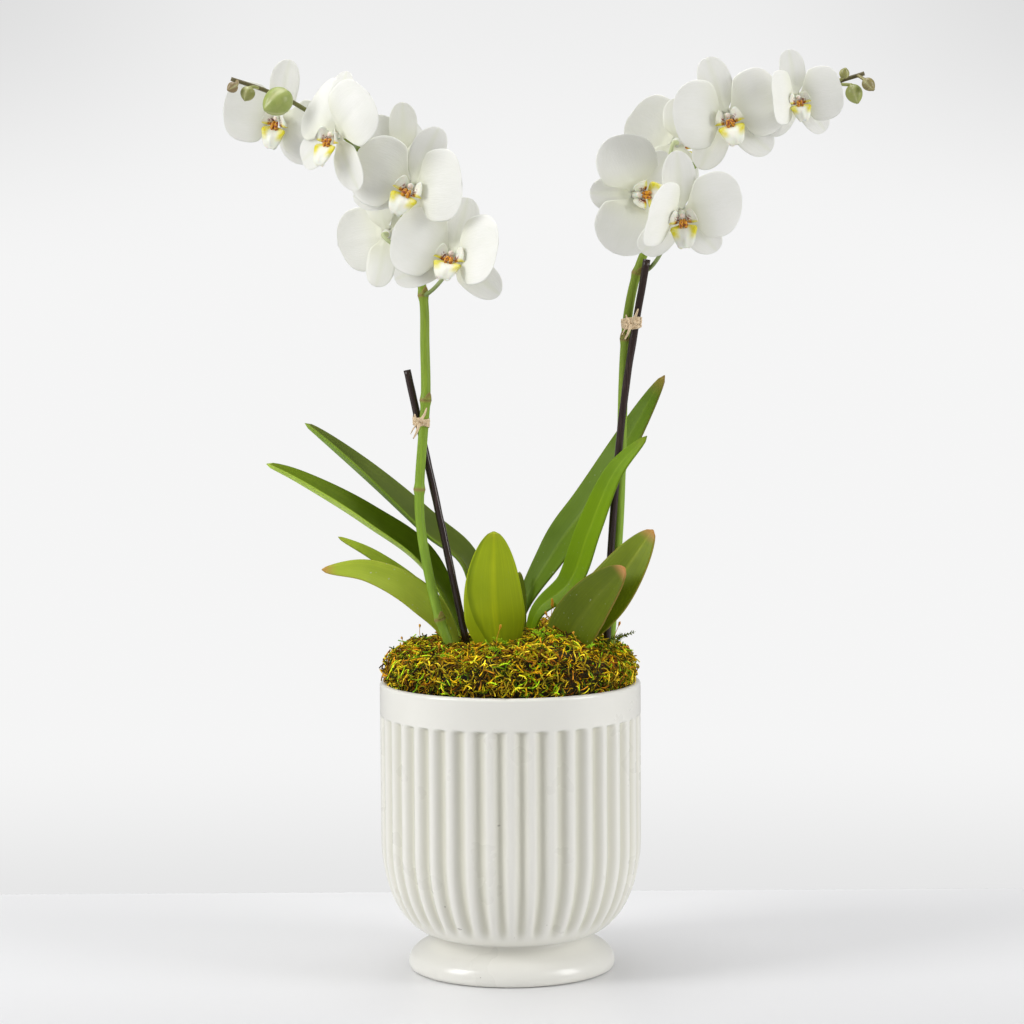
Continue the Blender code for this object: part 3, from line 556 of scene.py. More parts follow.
def leaf_skin(name, upper, under, redness, specks, midrib, crease_shadow=0.0):
    """One leaf's own finish, made from the shared tissue."""
    material, tree, shader = new_finish(name, 0.35, Specular_IOR_Level=0.13,
                                        Subsurface_Weight=0.08,
                                        Subsurface_Radius=(0.002, 0.003, 0.001))
    group = put(tree, "ShaderNodeGroup", node_tree=tissue)
    for label, value in (("Upper", upper), ("Under", under), ("Tip", (0.55, 0.25, 0.085))):
        group.inputs[label].default_value = (*value, 1.0)
    for label, value in (("Redness", redness), ("Specks", specks), ("Midrib", midrib),
                         ("Crease", crease_shadow)):
        group.inputs[label].default_value = value
    tree.links.new(group.outputs["Color"], shader.inputs["Base Color"])
    tree.links.new(group.outputs["Roughness"], shader.inputs["Roughness"])
    tree.links.new(raised(tree, group.outputs["Height"], 0.0004, 0.22), shader.inputs["Normal"])
    return material


# For each leaf: its midrib from base to tip and its width in mm, the slope of each half, the
# way its upper side looks at base and tip, its upper and under colours, and then how red its
# margin is, how many specks it has, how pale its midrib is and how dark the painted shadow of its
# fold is.
LEAVES = {
    "left_leaf_1": dict(path=[(-14, 14, 151), (-18, 14, 192), (-26, 15, 237), (-50, 15, 258.5),
                              (-83, 13, 290), (-121, 10, 325)],
                        width=31, fold=35, face=((0.5, -0.6, 0.5), (0.3, -0.2, 1.0)),
                        skin=((0.115, 0.160, 0.022), (0.23, 0.37, 0.040), 0.05, 0.1, 0.3)),
    "left_leaf_2": dict(path=[(-23, 9, 151), (-28, 11, 192), (-50, 13, 237), (-86, 6, 266),
                              (-122, -2, 290), (-143, -5, 302)],
                        width=30, fold=37, face=((0.5, -0.55, 0.6), (0.3, -0.3, 0.9)),
                        skin=((0.155, 0.235, 0.010), (0.46, 0.64, 0.090), 0.05, 0.1, 0.2)),
    "left_leaf_3": dict(path=[(-29, 2, 151), (-36, 1, 201), (-52, -1, 225), (-78, -4, 246),
                              (-101, -8, 259)],
                        width=10, fold=12, face=((0.3, -0.8, 0.5), (0.0, -0.8, 0.6)),
                        skin=((0.33, 0.44, 0.03), (0.30, 0.40, 0.030), 0.1, 0.2, 0.2)),
    "left_leaf_4": dict(path=[(-25, -5, 151), (-35, -5, 199), (-54, -7.5, 223.5),
                              (-82, -15, 239), (-110, -22, 241)],
                        width=18, fold=8, face=((-0.5, -0.8, 0.2), (-0.1, -0.9, 0.4)),
                        skin=((0.40, 0.50, 0.050), (0.40, 0.50, 0.050), 0.8, 0.8, 0.0)),
    "left_leaf_5": dict(path=[(-6, -15, 151), (-6.5, -18, 190), (-9.5, -25, 225),
                              (-9, -33, 264)],
                        width=37, base=0.34, fold=14, face=((0.0, 1.0, 0.2), (-0.1, 1.0, 0.3)),
                        skin=((0.40, 0.50, 0.014), (0.36, 0.46, 0.012), 0.1, 0.05, 0.5, 1.0)),
    "right_leaf_1": dict(path=[(7, 11, 151), (5, 12, 205), (27, 13, 247), (48, 14, 276),
                               (66, 15, 305), (93, 16, 352)],
                         width=25, fold=12, face=((-0.5, -0.8, 0.3), (-0.6, -0.75, 0.3)),
                         skin=((0.125, 0.215, 0.005), (0.060, 0.110, 0.003), 0.4, 0.4, 0.4)),
    "right_leaf_2": dict(path=[(13, 4, 151), (14, 0, 207), (36, -4, 231), (48, -8, 263),
                               (62, -13, 296), (81, -17, 318)],
                         width=19, fold=14, face=((-0.5, -0.8, 0.3), (-0.5, -0.8, 0.3)),
                         skin=((0.17, 0.295, 0.003), (0.105, 0.205, 0.002), 0.1, 0.2, 0.45)),
    "right_leaf_3": dict(path=[(23, -9, 156), (38, -17, 201), (60, -24, 228), (84, -30, 264)],
                         width=35, fold=10, face=((-0.4, -0.8, 0.4), (-0.4, -0.8, 0.4)),
                         skin=((0.17, 0.23, 0.006), (0.155, 0.205, 0.006), 0.8, 0.2, 0.8)),
    "right_leaf_4": dict(path=[(20, -14, 155), (33, -24, 196), (48, -33, 221), (67, -44, 243.5)],
                         width=35, base=0.50, fold=10, face=((-0.3, -0.8, 0.4), (-0.4, -0.8, 0.4)),
                         skin=((0.11, 0.15, 0.005), (0.085, 0.118, 0.003), 0.9, 0.4, 0.3)),
    "right_leaf_5": dict(path=[(5, 3, 151), (3, 4, 198), (5, 6, 222), (6, 8, 236)],
                         width=14, fold=14, face=((0.3, -0.9, 0.2), (0.3, -0.9, 0.2)),
                         skin=((0.12, 0.17, 0.006), (0.10, 0.15, 0.003), 0.1, 0.2, 0.2)),
}
for name, shape in LEAVES.items():
    skin = leaf_skin(name + "_skin", *shape.pop("skin"))
    body, faces, marks = sheet_body(*leaf_grid(**shape), across_steps(LEAF_COLUMNS))
    # the grid runs so that the sheet's second side is the leaf's upper one
    marks["under"] = 1.0 - marks["under"]
    new_piece(name + "_blade", body, faces, skin, [name], marks)


# ================================================================ flower spikes
# Two fleshy green stems, straight at first and arching out under the flowers. Each has a ring
# at every node and a small dry bract at most of them, and is thinner and darker at its tip.
SPIKE_RADIUS = 0.0027
SPIKES = {
    "left_spike": [(-30, -12, 152), (-34, -12, 188), (-42, -12, 213), (-48.5, -12, 242),
                   (-52.3, -12, 268), (-52.5, -12, 290), (-50.5, -12, 316), (-48.5, -11, 342),
                   (-48.8, -9, 372), (-49.5, -7, 400), (-56, -3, 434), (-70, -1, 466),
                   (-92, -1, 491), (-122, -4, 512), (-142, -8, 521), (-160, -12, 527)],
    "right_spike": [(58, -2, 152), (59.5, -2, 194), (62, -2, 225), (65, -2, 268), (66.5, -2, 306),
                    (67.6, -2, 345), (69, -2, 372), (71.3, -2, 393), (76, -1, 413), (84, 0, 433),
                    (96, 1, 456), (111, 1, 477), (134, 0, 495), (160, -3, 509), (186, -7, 521),
                    (208, -12, 528)],
}
# Heights of the nodes, and the side that each bract is on: left of the stem -1, right of it 1,
# and 0 where it has dropped off.
NODES = {"left_spike": ((211, 1), (287, 0), (340, 1), (401, 1)),
         "right_spike": ((300, 1), (375, -1), (413, 1))}
SPIKE_ROWS = 240

spike_lines = {name: through([Vector(p) * MM for p in path], SPIKE_ROWS)
               for name, path in SPIKES.items()}


def on_spike(name, position, axis):
    """Where a spike reaches a position in mm along x or z, and its direction there."""
    line = spike_lines[name]
    index = int(np.argmin(np.abs(line[1:-1, "xyz".index(axis)] - position * MM))) + 1
    way = line[index + 1] - line[index - 1]
    return Vector(line[index]), Vector(way).normalized()


def bract(base, way, out, radius, length, width):
    """Pointed scale that wraps half round the stem and stands off it at its tip."""
    steps = 9
    side = way.cross(out).normalized()
    grid = np.zeros((steps, steps, 3))
    for i, s in enumerate(np.linspace(0, 1, steps)):
        half = width * (1 - s ** 1.6) * (1 - 0.15 * s) + 0.0001
        stand = radius + 0.0002 + 0.0016 * s * s
        for j, t in enumerate(np.linspace(-1, 1, steps)):
            turn = half * t / radius
            round_stem = out * math.cos(turn) + side * math.sin(turn)
            grid[i, j] = base + way * length * s + round_stem * stand
    return sheet_body(grid, np.full((steps, steps), 0.0004))


def joined(bodies):
    """One set of vertices, faces and marks from several."""
    vertices, faces, marks, offset = [], [], {}, 0
    for body, body_faces, body_marks in bodies:
        vertices.append(np.asarray(body))
        faces += [tuple(offset + i for i in f) for f in body_faces]
        for mark, numbers in body_marks.items():
            marks.setdefault(mark, []).append(np.asarray(numbers, float))
        offset += len(body)
    return np.concatenate(vertices), faces, {m: np.concatenate(v) for m, v in marks.items()}


stem_skin, tree, shader = new_finish("spike_skin", 0.4, Specular_IOR_Level=0.25,
                                     Subsurface_Weight=0.08,
                                     Subsurface_Radius=(0.002, 0.003, 0.001))
height = put(tree, "ShaderNodeSeparateXYZ", {0: place_of(tree)}).outputs["Z"]
fibre = speckle(tree, place_of(tree, (700.0, 700.0, 35.0)), 1.0, 3.0, 0.6)
green = tint(tree, smooth_range(tree, height, 0.25, 0.46), (0.22, 0.36, 0.034),
             (0.21, 0.29, 0.030))
green = tint(tree, smooth_range(tree, height, 0.47, 0.53), green, (0.14, 0.12, 0.06))
green = tint(tree, smooth_range(tree, fibre, 0.42, 0.7, 0.0, 0.6), green,
             tint(tree, 1.0, green, (1.4, 1.35, 1.3), "MULTIPLY"))
green = tint(tree, mark_of(tree, "dry"), green, (0.30, 0.21, 0.070))
tree.links.new(green, shader.inputs["Base Color"])
tree.links.new(raised(tree, fibre, 0.0003, 0.5), shader.inputs["Normal"])

for name, line in spike_lines.items():
    s = np.linspace(0, 1, SPIKE_ROWS)
    radii = SPIKE_RADIUS * (1.05 - 0.60 * blend(0.45, 1.0, s))
    dryness = np.zeros(SPIKE_ROWS)
    bodies = []
    for height, side in NODES[name]:
        index = int(np.argmin(np.abs(line[:, 2] - height * MM)))
        off = np.linalg.norm(line - line[index], axis=1)
        radii += 0.00075 * np.exp(-(off / 0.0022) ** 2)
        dryness = np.maximum(dryness, np.exp(-(off / 0.0008) ** 2))
        if side == 0:
            continue
        base, way = on_spike(name, height, "z")
        out = Vector((side * 0.45, -0.9, 0.0))
        out = (out - out.dot(way) * way).normalized()
        body, faces, marks = bract(base, way, out, radii[index], 0.0048, 0.0026)
        bodies.append((body, faces, {"dry": 0.35 + 0.65 * marks["along"] ** 0.7}))
    body, faces, along = tube(line, radii, 20)
    bodies.insert(0, (body, faces, {"dry": np.interp(along, s, dryness)}))
    body, faces, marks = joined(bodies)
    new_piece(name + "_stem", body, faces, stem_skin, [name], marks)


# ================================================================ raffia ties
# A strip of dried palm leaf wound round spike and stake and knotted in front, with its ends
# left long. The strip is flat, thin and split along its fibres.
TIE_RADIUS = 0.0007
TIE_HEIGHTS = {"left_tie": ("left_spike", "left_stake", 327),
               "right_tie": ("right_spike", "right_stake", 384)}


def strip(points, width, thickness, twist):
    """Flat band along points. twist gives the way its face looks at each."""
    points = np.asarray(points, float)
    ahead = np.gradient(points, axis=0)
    ahead /= np.linalg.norm(ahead, axis=1)[:, None]
    columns = 7
    grid = np.zeros((len(points), columns, 3))
    for i, (point, way) in enumerate(zip(points, ahead)):
        face = np.asarray(twist[i], float)
        face = face - face.dot(way) * way
        face /= max(np.linalg.norm(face), 1e-9)
        side = np.cross(way, face)
        for j, t in enumerate(np.linspace(-1, 1, columns)):
            grid[i, j] = point + side * width[i] / 2 * t + face * 0.00012 * math.cos(3 * t + i)
    return sheet_body(grid, np.full((len(points), columns), thickness))


raffia, tree, shader = new_finish("raffia_fibre", 0.75)
fibre = speckle(tree, put(tree, "ShaderNodeCombineXYZ", {
    0: sum_of(tree, "MULTIPLY", mark_of(tree, "across"), 5.0),
    1: sum_of(tree, "MULTIPLY", mark_of(tree, "along"), 3.0), 2: 0.0}).outputs[0], 1.0, 3.0)
tree.links.new(tint(tree, smooth_range(tree, fibre, 0.35, 0.65), (0.66, 0.47, 0.27),
                    (0.93, 0.76, 0.52)), shader.inputs["Base Color"])
tree.links.new(raised(tree, fibre, 0.0003, 0.8), shader.inputs["Normal"])

for name, (spike, stake, height) in TIE_HEIGHTS.items():
    centre_a = on_spike(spike, height, "z")[0]
    stake_line = through([Vector(p) * MM for p in STAKES[stake]], 200)
    centre_b = Vector(stake_line[int(np.argmin(np.abs(stake_line[:, 2] - height * MM)))])
    middle = (centre_a + centre_b) / 2
    reach = Vector((centre_b.x - centre_a.x, centre_b.y - centre_a.y, 0.0))
    half_long = reach.length / 2 + SPIKE_RADIUS + TIE_RADIUS
    half_short = SPIKE_RADIUS + TIE_RADIUS * 0.8
    onward = reach.normalized()
    sideways = Vector((-onward.y, onward.x, 0.0))
    bodies = []
    for turn, (rise, width) in enumerate(((-0.0016, 0.0026), (0.0000, 0.0024), (0.0014, 0.0025))):
        steps = 49
        route, faces_out = [], []
        for k in range(steps):
            a = 2 * math.pi * k / (steps - 1) * 0.995
            out = onward * math.cos(a) + sideways * math.sin(a)
            square = 1 + 0.07 * abs(math.sin(2 * a)) + 0.02 * turn
            route.append(middle + square * (onward * half_long * math.cos(a)
                                            + sideways * half_short * math.sin(a))
                         + Vector((0, 0, rise + 0.0010 * math.sin(a + turn))))
            faces_out.append(out)
        bodies.append(strip(route, np.full(steps, width), 0.00035, faces_out))
    knot = middle + Vector((-0.0010, -half_long - 0.0004, 0.0))
    ball = [knot + Vector((0.0030 * math.cos(a), -0.0010 - 0.0006 * math.sin(2 * a),
                           0.0018 * math.sin(a))) for a in np.linspace(0, 4 * math.pi, 40)]
    bodies.append(strip(ball, np.full(40, 0.0018), 0.0004, [Vector((0.1, -1, 0.2))] * 40))
    ends = [((0.0045, -0.002, 0.0085), 0.0019), ((-0.0025, -0.002, 0.0050), 0.0016),
            ((-0.0035, -0.002, -0.0095), 0.0019), ((-0.0050, -0.001, -0.0070), 0.0011)]
    for k, (reach_end, width) in enumerate(ends):
        tip = Vector(reach_end)
        bend = Vector((0.0007 * (-1) ** k, -0.001, 0.0))
        route = [knot + tip * s + bend * math.sin(math.pi * s) + Vector((0, -0.001, 0))
                 for s in np.linspace(0, 1, 14)]
        bodies.append(strip(route, width * (1 - 0.6 * np.linspace(0, 1, 14) ** 2), 0.0003,
                            [Vector((0.3 * (k - 1), -1, 0.1))] * 14))
    body, faces, marks = joined(bodies)
    new_piece(name + "_raffia", body, faces, raffia, [name], marks)


# ================================================================ flowers
# Eleven open flowers. Each has two broad petals in front of three narrower sepals, and a
# lip of two upright yellow-edged ears, a spotted yellow boss and a pointed tongue that ends in
# two tendrils, all under a short white column. The tissue is thin, matt and finely veined.
FLOWERS = {
    "left_flower_1": dict(place=(-32, -41, 423), turn=-5, tip=19, spin=12, size=0.95,
                          aims=(170, 12), sweep=(10, 45), sepals=(90, 212, 335), node=(401, "z")),
    "left_flower_2": dict(place=(-71, 14, 436.5), turn=160, tip=0, spin=15, size=0.87,
                          aims=(170, 3), sweep=(0, 10), sepals=(90, 235, 294), node=(430, "z")),
    "left_flower_3": dict(place=(-55, -33, 463), turn=-8, tip=5, spin=25, size=0.95,
                          aims=(180, 26), sweep=(0, 33), sepals=(92, 212, 320), node=(446, "z")),
    "left_flower_4": dict(place=(-61.5, 26, 483), turn=180, tip=0, spin=0, size=0.78,
                          aims=(150, 25), sweep=(60, 0), sepals=(90, 230, 310), node=(462, "z")),
    "left_flower_5": dict(place=(-98, -34, 493), turn=-40, tip=0, spin=8, size=0.92,
                          aims=(136, 50), sweep=(-15, 4), sepals=(90, 212, 300),
                          node=(-88, "x")),
    "left_flower_6": dict(place=(-134, 14, 506), turn=-22, tip=-18, spin=12, size=0.87,
                          aims=(175, -20), sweep=(30, -6), sepals=(84, 205, 300),
                          node=(-100, "x"), leave=(6, 14, 22)),
    "right_flower_1": dict(place=(99.5, -48, 447.5), turn=5, tip=-20, spin=-6, size=0.90,
                           aims=(160, 8), sweep=(52, 0), sepals=(90, 225, 305),
                           node=(415, "z"), leave=(12, 0, 0)),
    "right_flower_2": dict(place=(74.5, -20, 458.5), turn=25, tip=0, spin=-88, size=0.90,
                           dorsal=0.75, aims=(160, 20), sweep=(0, 0), sepals=(90, 225, 315),
                           node=(446, "z")),
    "right_flower_3": dict(place=(101, 22, 489.5), turn=160, tip=0, spin=0, size=0.85,
                           dorsal=0.75, aims=(128, 34), sweep=(0, 0), sepals=(92, 262, 310),
                           node=(464, "z")),
    "right_flower_4": dict(place=(126.5, -33, 502.5), turn=5, tip=0, spin=-14, size=0.90,
                           aims=(164, 9), sweep=(25, 0), sepals=(94, 230, 308),
                           node=(118, "x")),
    "right_flower_5": dict(place=(167, -30, 513), turn=10, tip=0, spin=-8, size=0.71,
                           aims=(175, 0), sweep=(50, 30), sepals=(90, 225, 305),
                           node=(156, "x")),
}
# Where on the centre each part starts, its length and half width in mm and how far it stands
# forward.
TEPALS = {
    "right_petal": (30, 37.5, 22.0, 2.2),
    "left_petal": (150, 37.5, 22.0, 2.6),
    "dorsal_sepal": (90, 38.0, 10.8, -1.6),
    "left_sepal": (210, 34.5, 10.8, -1.2),
    "right_sepal": (330, 34.5, 10.8, -1.4),
}
HUB_RADIUS = 3.2
TEPAL_THICKNESS = 0.7


def facing(turn, tip, spin):
    """Matrix whose columns are the flower's right, its top and the way it faces."""
    turn, tip, spin = (math.radians(v) for v in (turn, tip, spin))
    face = Vector((math.sin(turn) * math.cos(tip), -math.cos(turn) * math.cos(tip), math.sin(tip)))
    level = Vector((math.cos(turn), math.sin(turn), 0.0))
    top = face.cross(level)
    right = math.cos(spin) * level - math.sin(spin) * top
    top = math.sin(spin) * level + math.cos(spin) * top
    return Matrix((right, top, face)).transposed()


def tepal_grid(kind, root, aim, length, half, forward, fold, chance):
    """Middle surface of one petal or sepal in the flower's own millimetres."""
    petal = "petal" in kind
    rows, columns = (30, 25) if petal else (26, 15)
    s = along_steps(rows)[:, None]
    t = across_steps(columns)[None, :]
    # the outline swells from a narrow claw to its broadest point and closes in a round end
    broadest, roundness = (0.54, 2.25) if petal else (0.58, 2.1)
    reach = np.where(s < broadest, (broadest - s) / broadest, (s - broadest) / (1 - broadest))
    body = np.maximum(1 - reach ** roundness, 0.0) ** (1 / roundness)
    claw = 0.16 if petal else 0.34
    body = np.maximum(body * (claw + (1 - claw) * blend(-0.04, 0.30, s)),
                      claw * (1 - blend(0.0, 0.25, s)))
    width = half * body
    side_line = t * body
    aim_way = np.array((math.cos(math.radians(aim)), math.sin(math.radians(aim)), 0.0))
    side = np.array((-aim_way[1], aim_way[0], 0.0))
    start = HUB_RADIUS * 0.75 * np.array((math.cos(math.radians(root)),
                                          math.sin(math.radians(root)), 0.0))
    out = length * s + 0 * t
    out = out + (0.8 if petal else 0.3) * np.sin(3.1 * side_line + chance.uniform(0, 6)) * blend(
        0.4, 0.8, s)
    lift = forward * blend(0.0, 0.22, s) + 0 * t
    lift = lift + (1.6 * np.sin(np.pi * s) - 3.0 * s ** 2.2 if petal
                   else 1.0 * np.sin(np.pi * s) - 2.6 * s ** 2)
    cup = -1.5 if petal else 1.2
    lift = lift + cup * side_line ** 2 * blend(0.15, 0.8, s)
    lift = lift - 0.5 * np.exp(-(side_line / 0.12) ** 2) * (1 - s) * blend(0.0, 0.15, s)
    wave = chance.uniform(0, 6)
    lift = lift + (0.8 if petal else 0.35) * np.sin(4.2 * side_line + 3.0 * s + wave) * (
        s * np.abs(side_line))
    if fold:
        # a petal that folds forward bends more and more towards its tip
        bend = math.radians(fold) * (0.55 + 0.75 * s)
        step = length / (rows - 1)
        along = np.cumsum(np.cos(bend), axis=0) * step - math.cos(bend[0, 0]) * step
        rise = np.cumsum(np.sin(bend), axis=0) * step - math.sin(bend[0, 0]) * step
        out = out - length * s + along - lift * np.sin(bend)
        lift = lift * np.cos(bend) + rise
    grid = (start[None, None] + aim_way * out[..., None] + side * (width * t)[..., None]
            + np.array((0.0, 0.0, 1.0)) * lift[..., None])
    thick = TEPAL_THICKNESS * (0.45 + 0.55 * (1 - s)) * np.ones_like(t)
    return grid, thick


def lip_bodies(chance):
    """Ears, boss, tongue, tendrils and column of one flower, in its own millimetres."""
    bodies = []

    def add_sheet(grid, thick, yellow, red):
        body, faces, marks = sheet_body(grid, np.full(grid.shape[:2], thick))
        for name, value in (("yellow", yellow), ("red", red), ("rosy", 0.0)):
            value = np.broadcast_to(value, grid.shape[:2])
            marks[name] = np.concatenate([value.ravel(), value[1:-1, 1:-1].ravel()])
        bodies.append((body, faces, marks))

    def add_rod(body, faces, along, **colours):
        marks = {"along": along}
        for name in ("across", "under", "yellow", "red", "rosy"):
            marks[name] = colours.get(name, 0.0) + 0 * along
        bodies.append((body, faces, marks))

    s = np.linspace(0, 1, 18)[:, None]
    t = np.linspace(-1, 1, 15)[None, :]
    for hand in (-1, 1):
        # a broad white ear stands beside the column, cupped forward, its lower margin yellow
        rise = 4.9 * np.sin(np.pi * np.clip(0.10 + 0.895 * s, 0, 0.9995)) ** 0.55
        up = (1 + t) / 2
        x = hand * (1.6 + 8.4 * s - 1.3 * up * s)
        y = -5.2 + 1.6 * s + 2 * rise * up
        z = 3.4 + 4.2 * s + 2.0 * np.sin(np.pi * s) + 2.4 * up ** 2 * s - 1.2 * up * (1 - s)
        grid = np.stack(np.broadcast_arrays(x, y, z), axis=2)
        if hand < 0:
            grid = grid[:, ::-1]
            up = up[:, ::-1]
        add_sheet(grid, 0.55, (1 - blend(0.10, 0.30, up)) * blend(0.12, 0.35, s),
                  1.2 * (1 - blend(0.25, 0.60, s)) * (1 - blend(0.35, 0.70, up)))
    # the tongue runs forward and down, with broad upturned yellow shoulders and a white end
    s = np.linspace(0, 1, 24)[:, None]
    half = np.interp(s, [0, 0.10, 0.22, 0.36, 0.48, 0.70, 0.85, 0.94, 1.0],
                     [2.6, 4.6, 8.0, 8.8, 7.8, 6.3, 5.2, 3.9, 1.0])
    x = half * t
    y = -5.6 - 13.0 * s ** 1.05 + 2.6 * np.abs(t) ** 1.5 * np.sin(np.pi * np.clip(s * 1.6, 0, 1))
    z = 6.2 + 8.0 * np.sin(np.pi * 0.60 * s) - 1.6 * np.abs(t) ** 2 * np.sin(np.pi * s)
    z = z + 0.9 * np.exp(-(t / 0.16) ** 2) * np.sin(np.pi * s)
    grid = np.stack(np.broadcast_arrays(x, y, z), axis=2)
    grid = grid[:, ::-1]
    shoulder = blend(0.28, 0.66, np.abs(t)) * (1 - blend(0.44, 0.66, s))
    add_sheet(grid, 1.0, np.clip(shoulder + (1 - blend(0.05, 0.20, s)), 0, 1),
              0.5 * (1 - blend(0.02, 0.14, s)) + 0 * t)
    # a curled tendril at each corner of the tongue's end, then the two lobes of the boss
    for hand in (-1, 1):
        spread = chance.uniform(0.85, 1.2)
        line = through([(hand * 0.7, -18.0, 12.8), (hand * 2.4 * spread, -18.8, 13.2),
                        (hand * 4.0 * spread, -17.4, 13.2), (hand * 4.4 * spread, -15.2, 12.8)],
                       16)
        add_rod(*tube(line, 0.5 * (1 - 0.6 * np.linspace(0, 1, 16)), 8))
    for hand in (-1, 1):
        line = through([(hand * 0.8, -2.2, 5.4), (hand * 1.2, -3.2, 7.8), (hand * 1.5, -5.2, 8.6),
                        (hand * 1.7, -7.6, 8.2)], 16)
        swell = 0.2 + 1.25 * np.sin(np.pi * np.linspace(0.10, 0.95, 16)) ** 0.8
        body, faces, along = tube(line, swell, 12)
        add_rod(body, faces, along, yellow=1.0, red=1.25 - 0.70 * along)
    # the column stands over them, with a faint rosy cap
    line = through([(0, 0.2, -1.5), (0, 0.6, 1.5), (0, 0.9, 4.6), (0, 0.3, 7.4)], 22)
    profile = np.interp(np.linspace(0, 1, 22), [0, 0.15, 0.6, 0.80, 0.92, 0.98, 1.0],
                        [3.4, 2.4, 1.7, 1.9, 1.6, 0.9, 0.2])
    body, faces, along = tube(line, profile, 16)
    add_rod(body, faces, along, rosy=blend(0.84, 0.95, along))
    return bodies


petal_tissue, tree, shader = new_finish("white_tepal", 0.55, Sheen_Weight=0.08,
                                        Subsurface_Weight=0.35, Subsurface_Scale=0.6,
                                        Subsurface_Radius=(0.004, 0.004, 0.0035))
along, across, under = (mark_of(tree, name) for name in ("along", "across", "under"))
narrow = mark_of(tree, "sepal")
vein_place = put(tree, "ShaderNodeCombineXYZ", {
    0: sum_of(tree, "MULTIPLY", across, 7.0), 1: sum_of(tree, "MULTIPLY", along, 1.1),
    2: narrow}).outputs[0]
veins = speckle(tree, vein_place, 1.6, 3.0, 0.55)
vein = smooth_range(tree, sum_of(tree, "ABSOLUTE", sum_of(tree, "SUBTRACT", veins, 0.5)),
                    0.0, 0.07, 1.0, 0.0)
cloud = speckle(tree, place_of(tree), 60.0, 2.0)
colour = tint(tree, smooth_range(tree, cloud, 0.3, 0.7), (0.870, 0.866, 0.805),
              (0.835, 0.836, 0.765))
throat = smooth_range(tree, along, 0.05, 0.60, 0.85, 0.0)
colour = tint(tree, throat, colour, (0.77, 0.78, 0.62))
colour = tint(tree, sum_of(tree, "MULTIPLY", vein, 0.10), colour, (0.72, 0.73, 0.62))
rear = sum_of(tree, "MULTIPLY", under, smooth_range(tree, along, 0.0, 0.7, 0.6, 0.15))
colour = tint(tree, rear, colour, (0.76, 0.76, 0.60))
keel = sum_of(tree, "MULTIPLY", sum_of(tree, "MULTIPLY", narrow, smooth_range(
    tree, sum_of(tree, "ABSOLUTE", across), 0.0, 0.35, 1.0, 0.0)), 0.35)
colour = tint(tree, keel, colour, (0.76, 0.78, 0.60))
tree.links.new(colour, shader.inputs["Base Color"])
grainy = speckle(tree, place_of(tree), 900.0, 2.0)
relief = sum_of(tree, "ADD", sum_of(tree, "MULTIPLY", vein, -0.15),
                sum_of(tree, "MULTIPLY", grainy, 0.35))
tree.links.new(raised(tree, relief, 0.00025, 0.6), shader.inputs["Normal"])

lip_tissue, tree, shader = new_finish("yellow_edged_lip", 0.42, Coat_Weight=0.1,
                                      Subsurface_Weight=0.25,
                                      Subsurface_Radius=(0.003, 0.002, 0.001))
where = place_of(tree)
ragged = smooth_range(tree, speckle(tree, where, 450.0, 2.0), 0.30, 0.62, 0.75, 1.0)
yellow = sum_of(tree, "MULTIPLY", mark_of(tree, "yellow"), ragged)
colour = tint(tree, yellow, (0.85, 0.855, 0.745), (0.74, 0.66, 0.01))
boss = smooth_range(tree, mark_of(tree, "red"), 0.30, 0.45)
boss = sum_of(tree, "MULTIPLY", boss, mark_of(tree, "yellow"))
colour = tint(tree, boss, colour, (0.70, 0.31, 0.006))
spots = smooth_range(tree, speckle(tree, where, 850.0, 1.0), 0.50, 0.56)
spots = sum_of(tree, "MULTIPLY", spots, mark_of(tree, "red"))
colour = tint(tree, spots, colour, (0.24, 0.022, 0.020))
colour = tint(tree, sum_of(tree, "MULTIPLY", mark_of(tree, "rosy"), 0.7), colour,
              (0.84, 0.66, 0.56))
tree.links.new(colour, shader.inputs["Base Color"])
tree.links.new(raised(tree, speckle(tree, where, 900.0, 2.0), 0.0003, 0.5),
               shader.inputs["Normal"])


def set_in_place(bodies, place, turn, tip, spin, size):
    """Moves a flower's bodies from their own millimetres to where the flower hangs."""
    vertices, faces, marks = joined(bodies)
    aim = np.array(facing(turn, tip, spin))
    return vertices * size * MM @ aim.T + np.array(place) * MM, faces, marks


for name, spec in FLOWERS.items():
    chance = random.Random(name)
    pose = [spec[key] for key in ("place", "turn", "tip", "spin", "size")]
    bodies = []
    folds = {"left_petal": spec["sweep"][0], "right_petal": spec["sweep"][1]}
    ways = dict(zip(("left_petal", "right_petal", "dorsal_sepal", "left_sepal", "right_sepal"),
                    spec["aims"] + spec["sepals"]))
    for kind, (root, length, half, forward) in TEPALS.items():
        aim, fold = ways[kind], folds.get(kind, 0)
        if kind == "dorsal_sepal":
            length *= spec.get("dorsal", 1.0)
        grid, thick = tepal_grid(kind, root, aim, length, half, forward, fold, chance)
        steps = across_steps(grid.shape[1]), along_steps(grid.shape[0])
        # the sheet's first side has to look the way the flower faces
        toward_face = np.cross(grid[8, 6] - grid[6, 6], grid[6, 8] - grid[6, 6])[2]
        if toward_face < 0:
            grid, thick = grid[:, ::-1], thick[:, ::-1]
        body, faces, marks = sheet_body(grid, thick, *steps)
        marks["sepal"] = np.full(len(body), 0.0 if "petal" in kind else 1.0)
        bodies.append((body, faces, marks))
    body, faces, marks = set_in_place(bodies, *pose)
    new_piece(name + "_tepals", body, faces, petal_tissue, [name], marks)
    body, faces, marks = set_in_place(lip_bodies(chance), *pose)
    new_piece(name + "_lip", body, faces, lip_tissue, [name], marks)


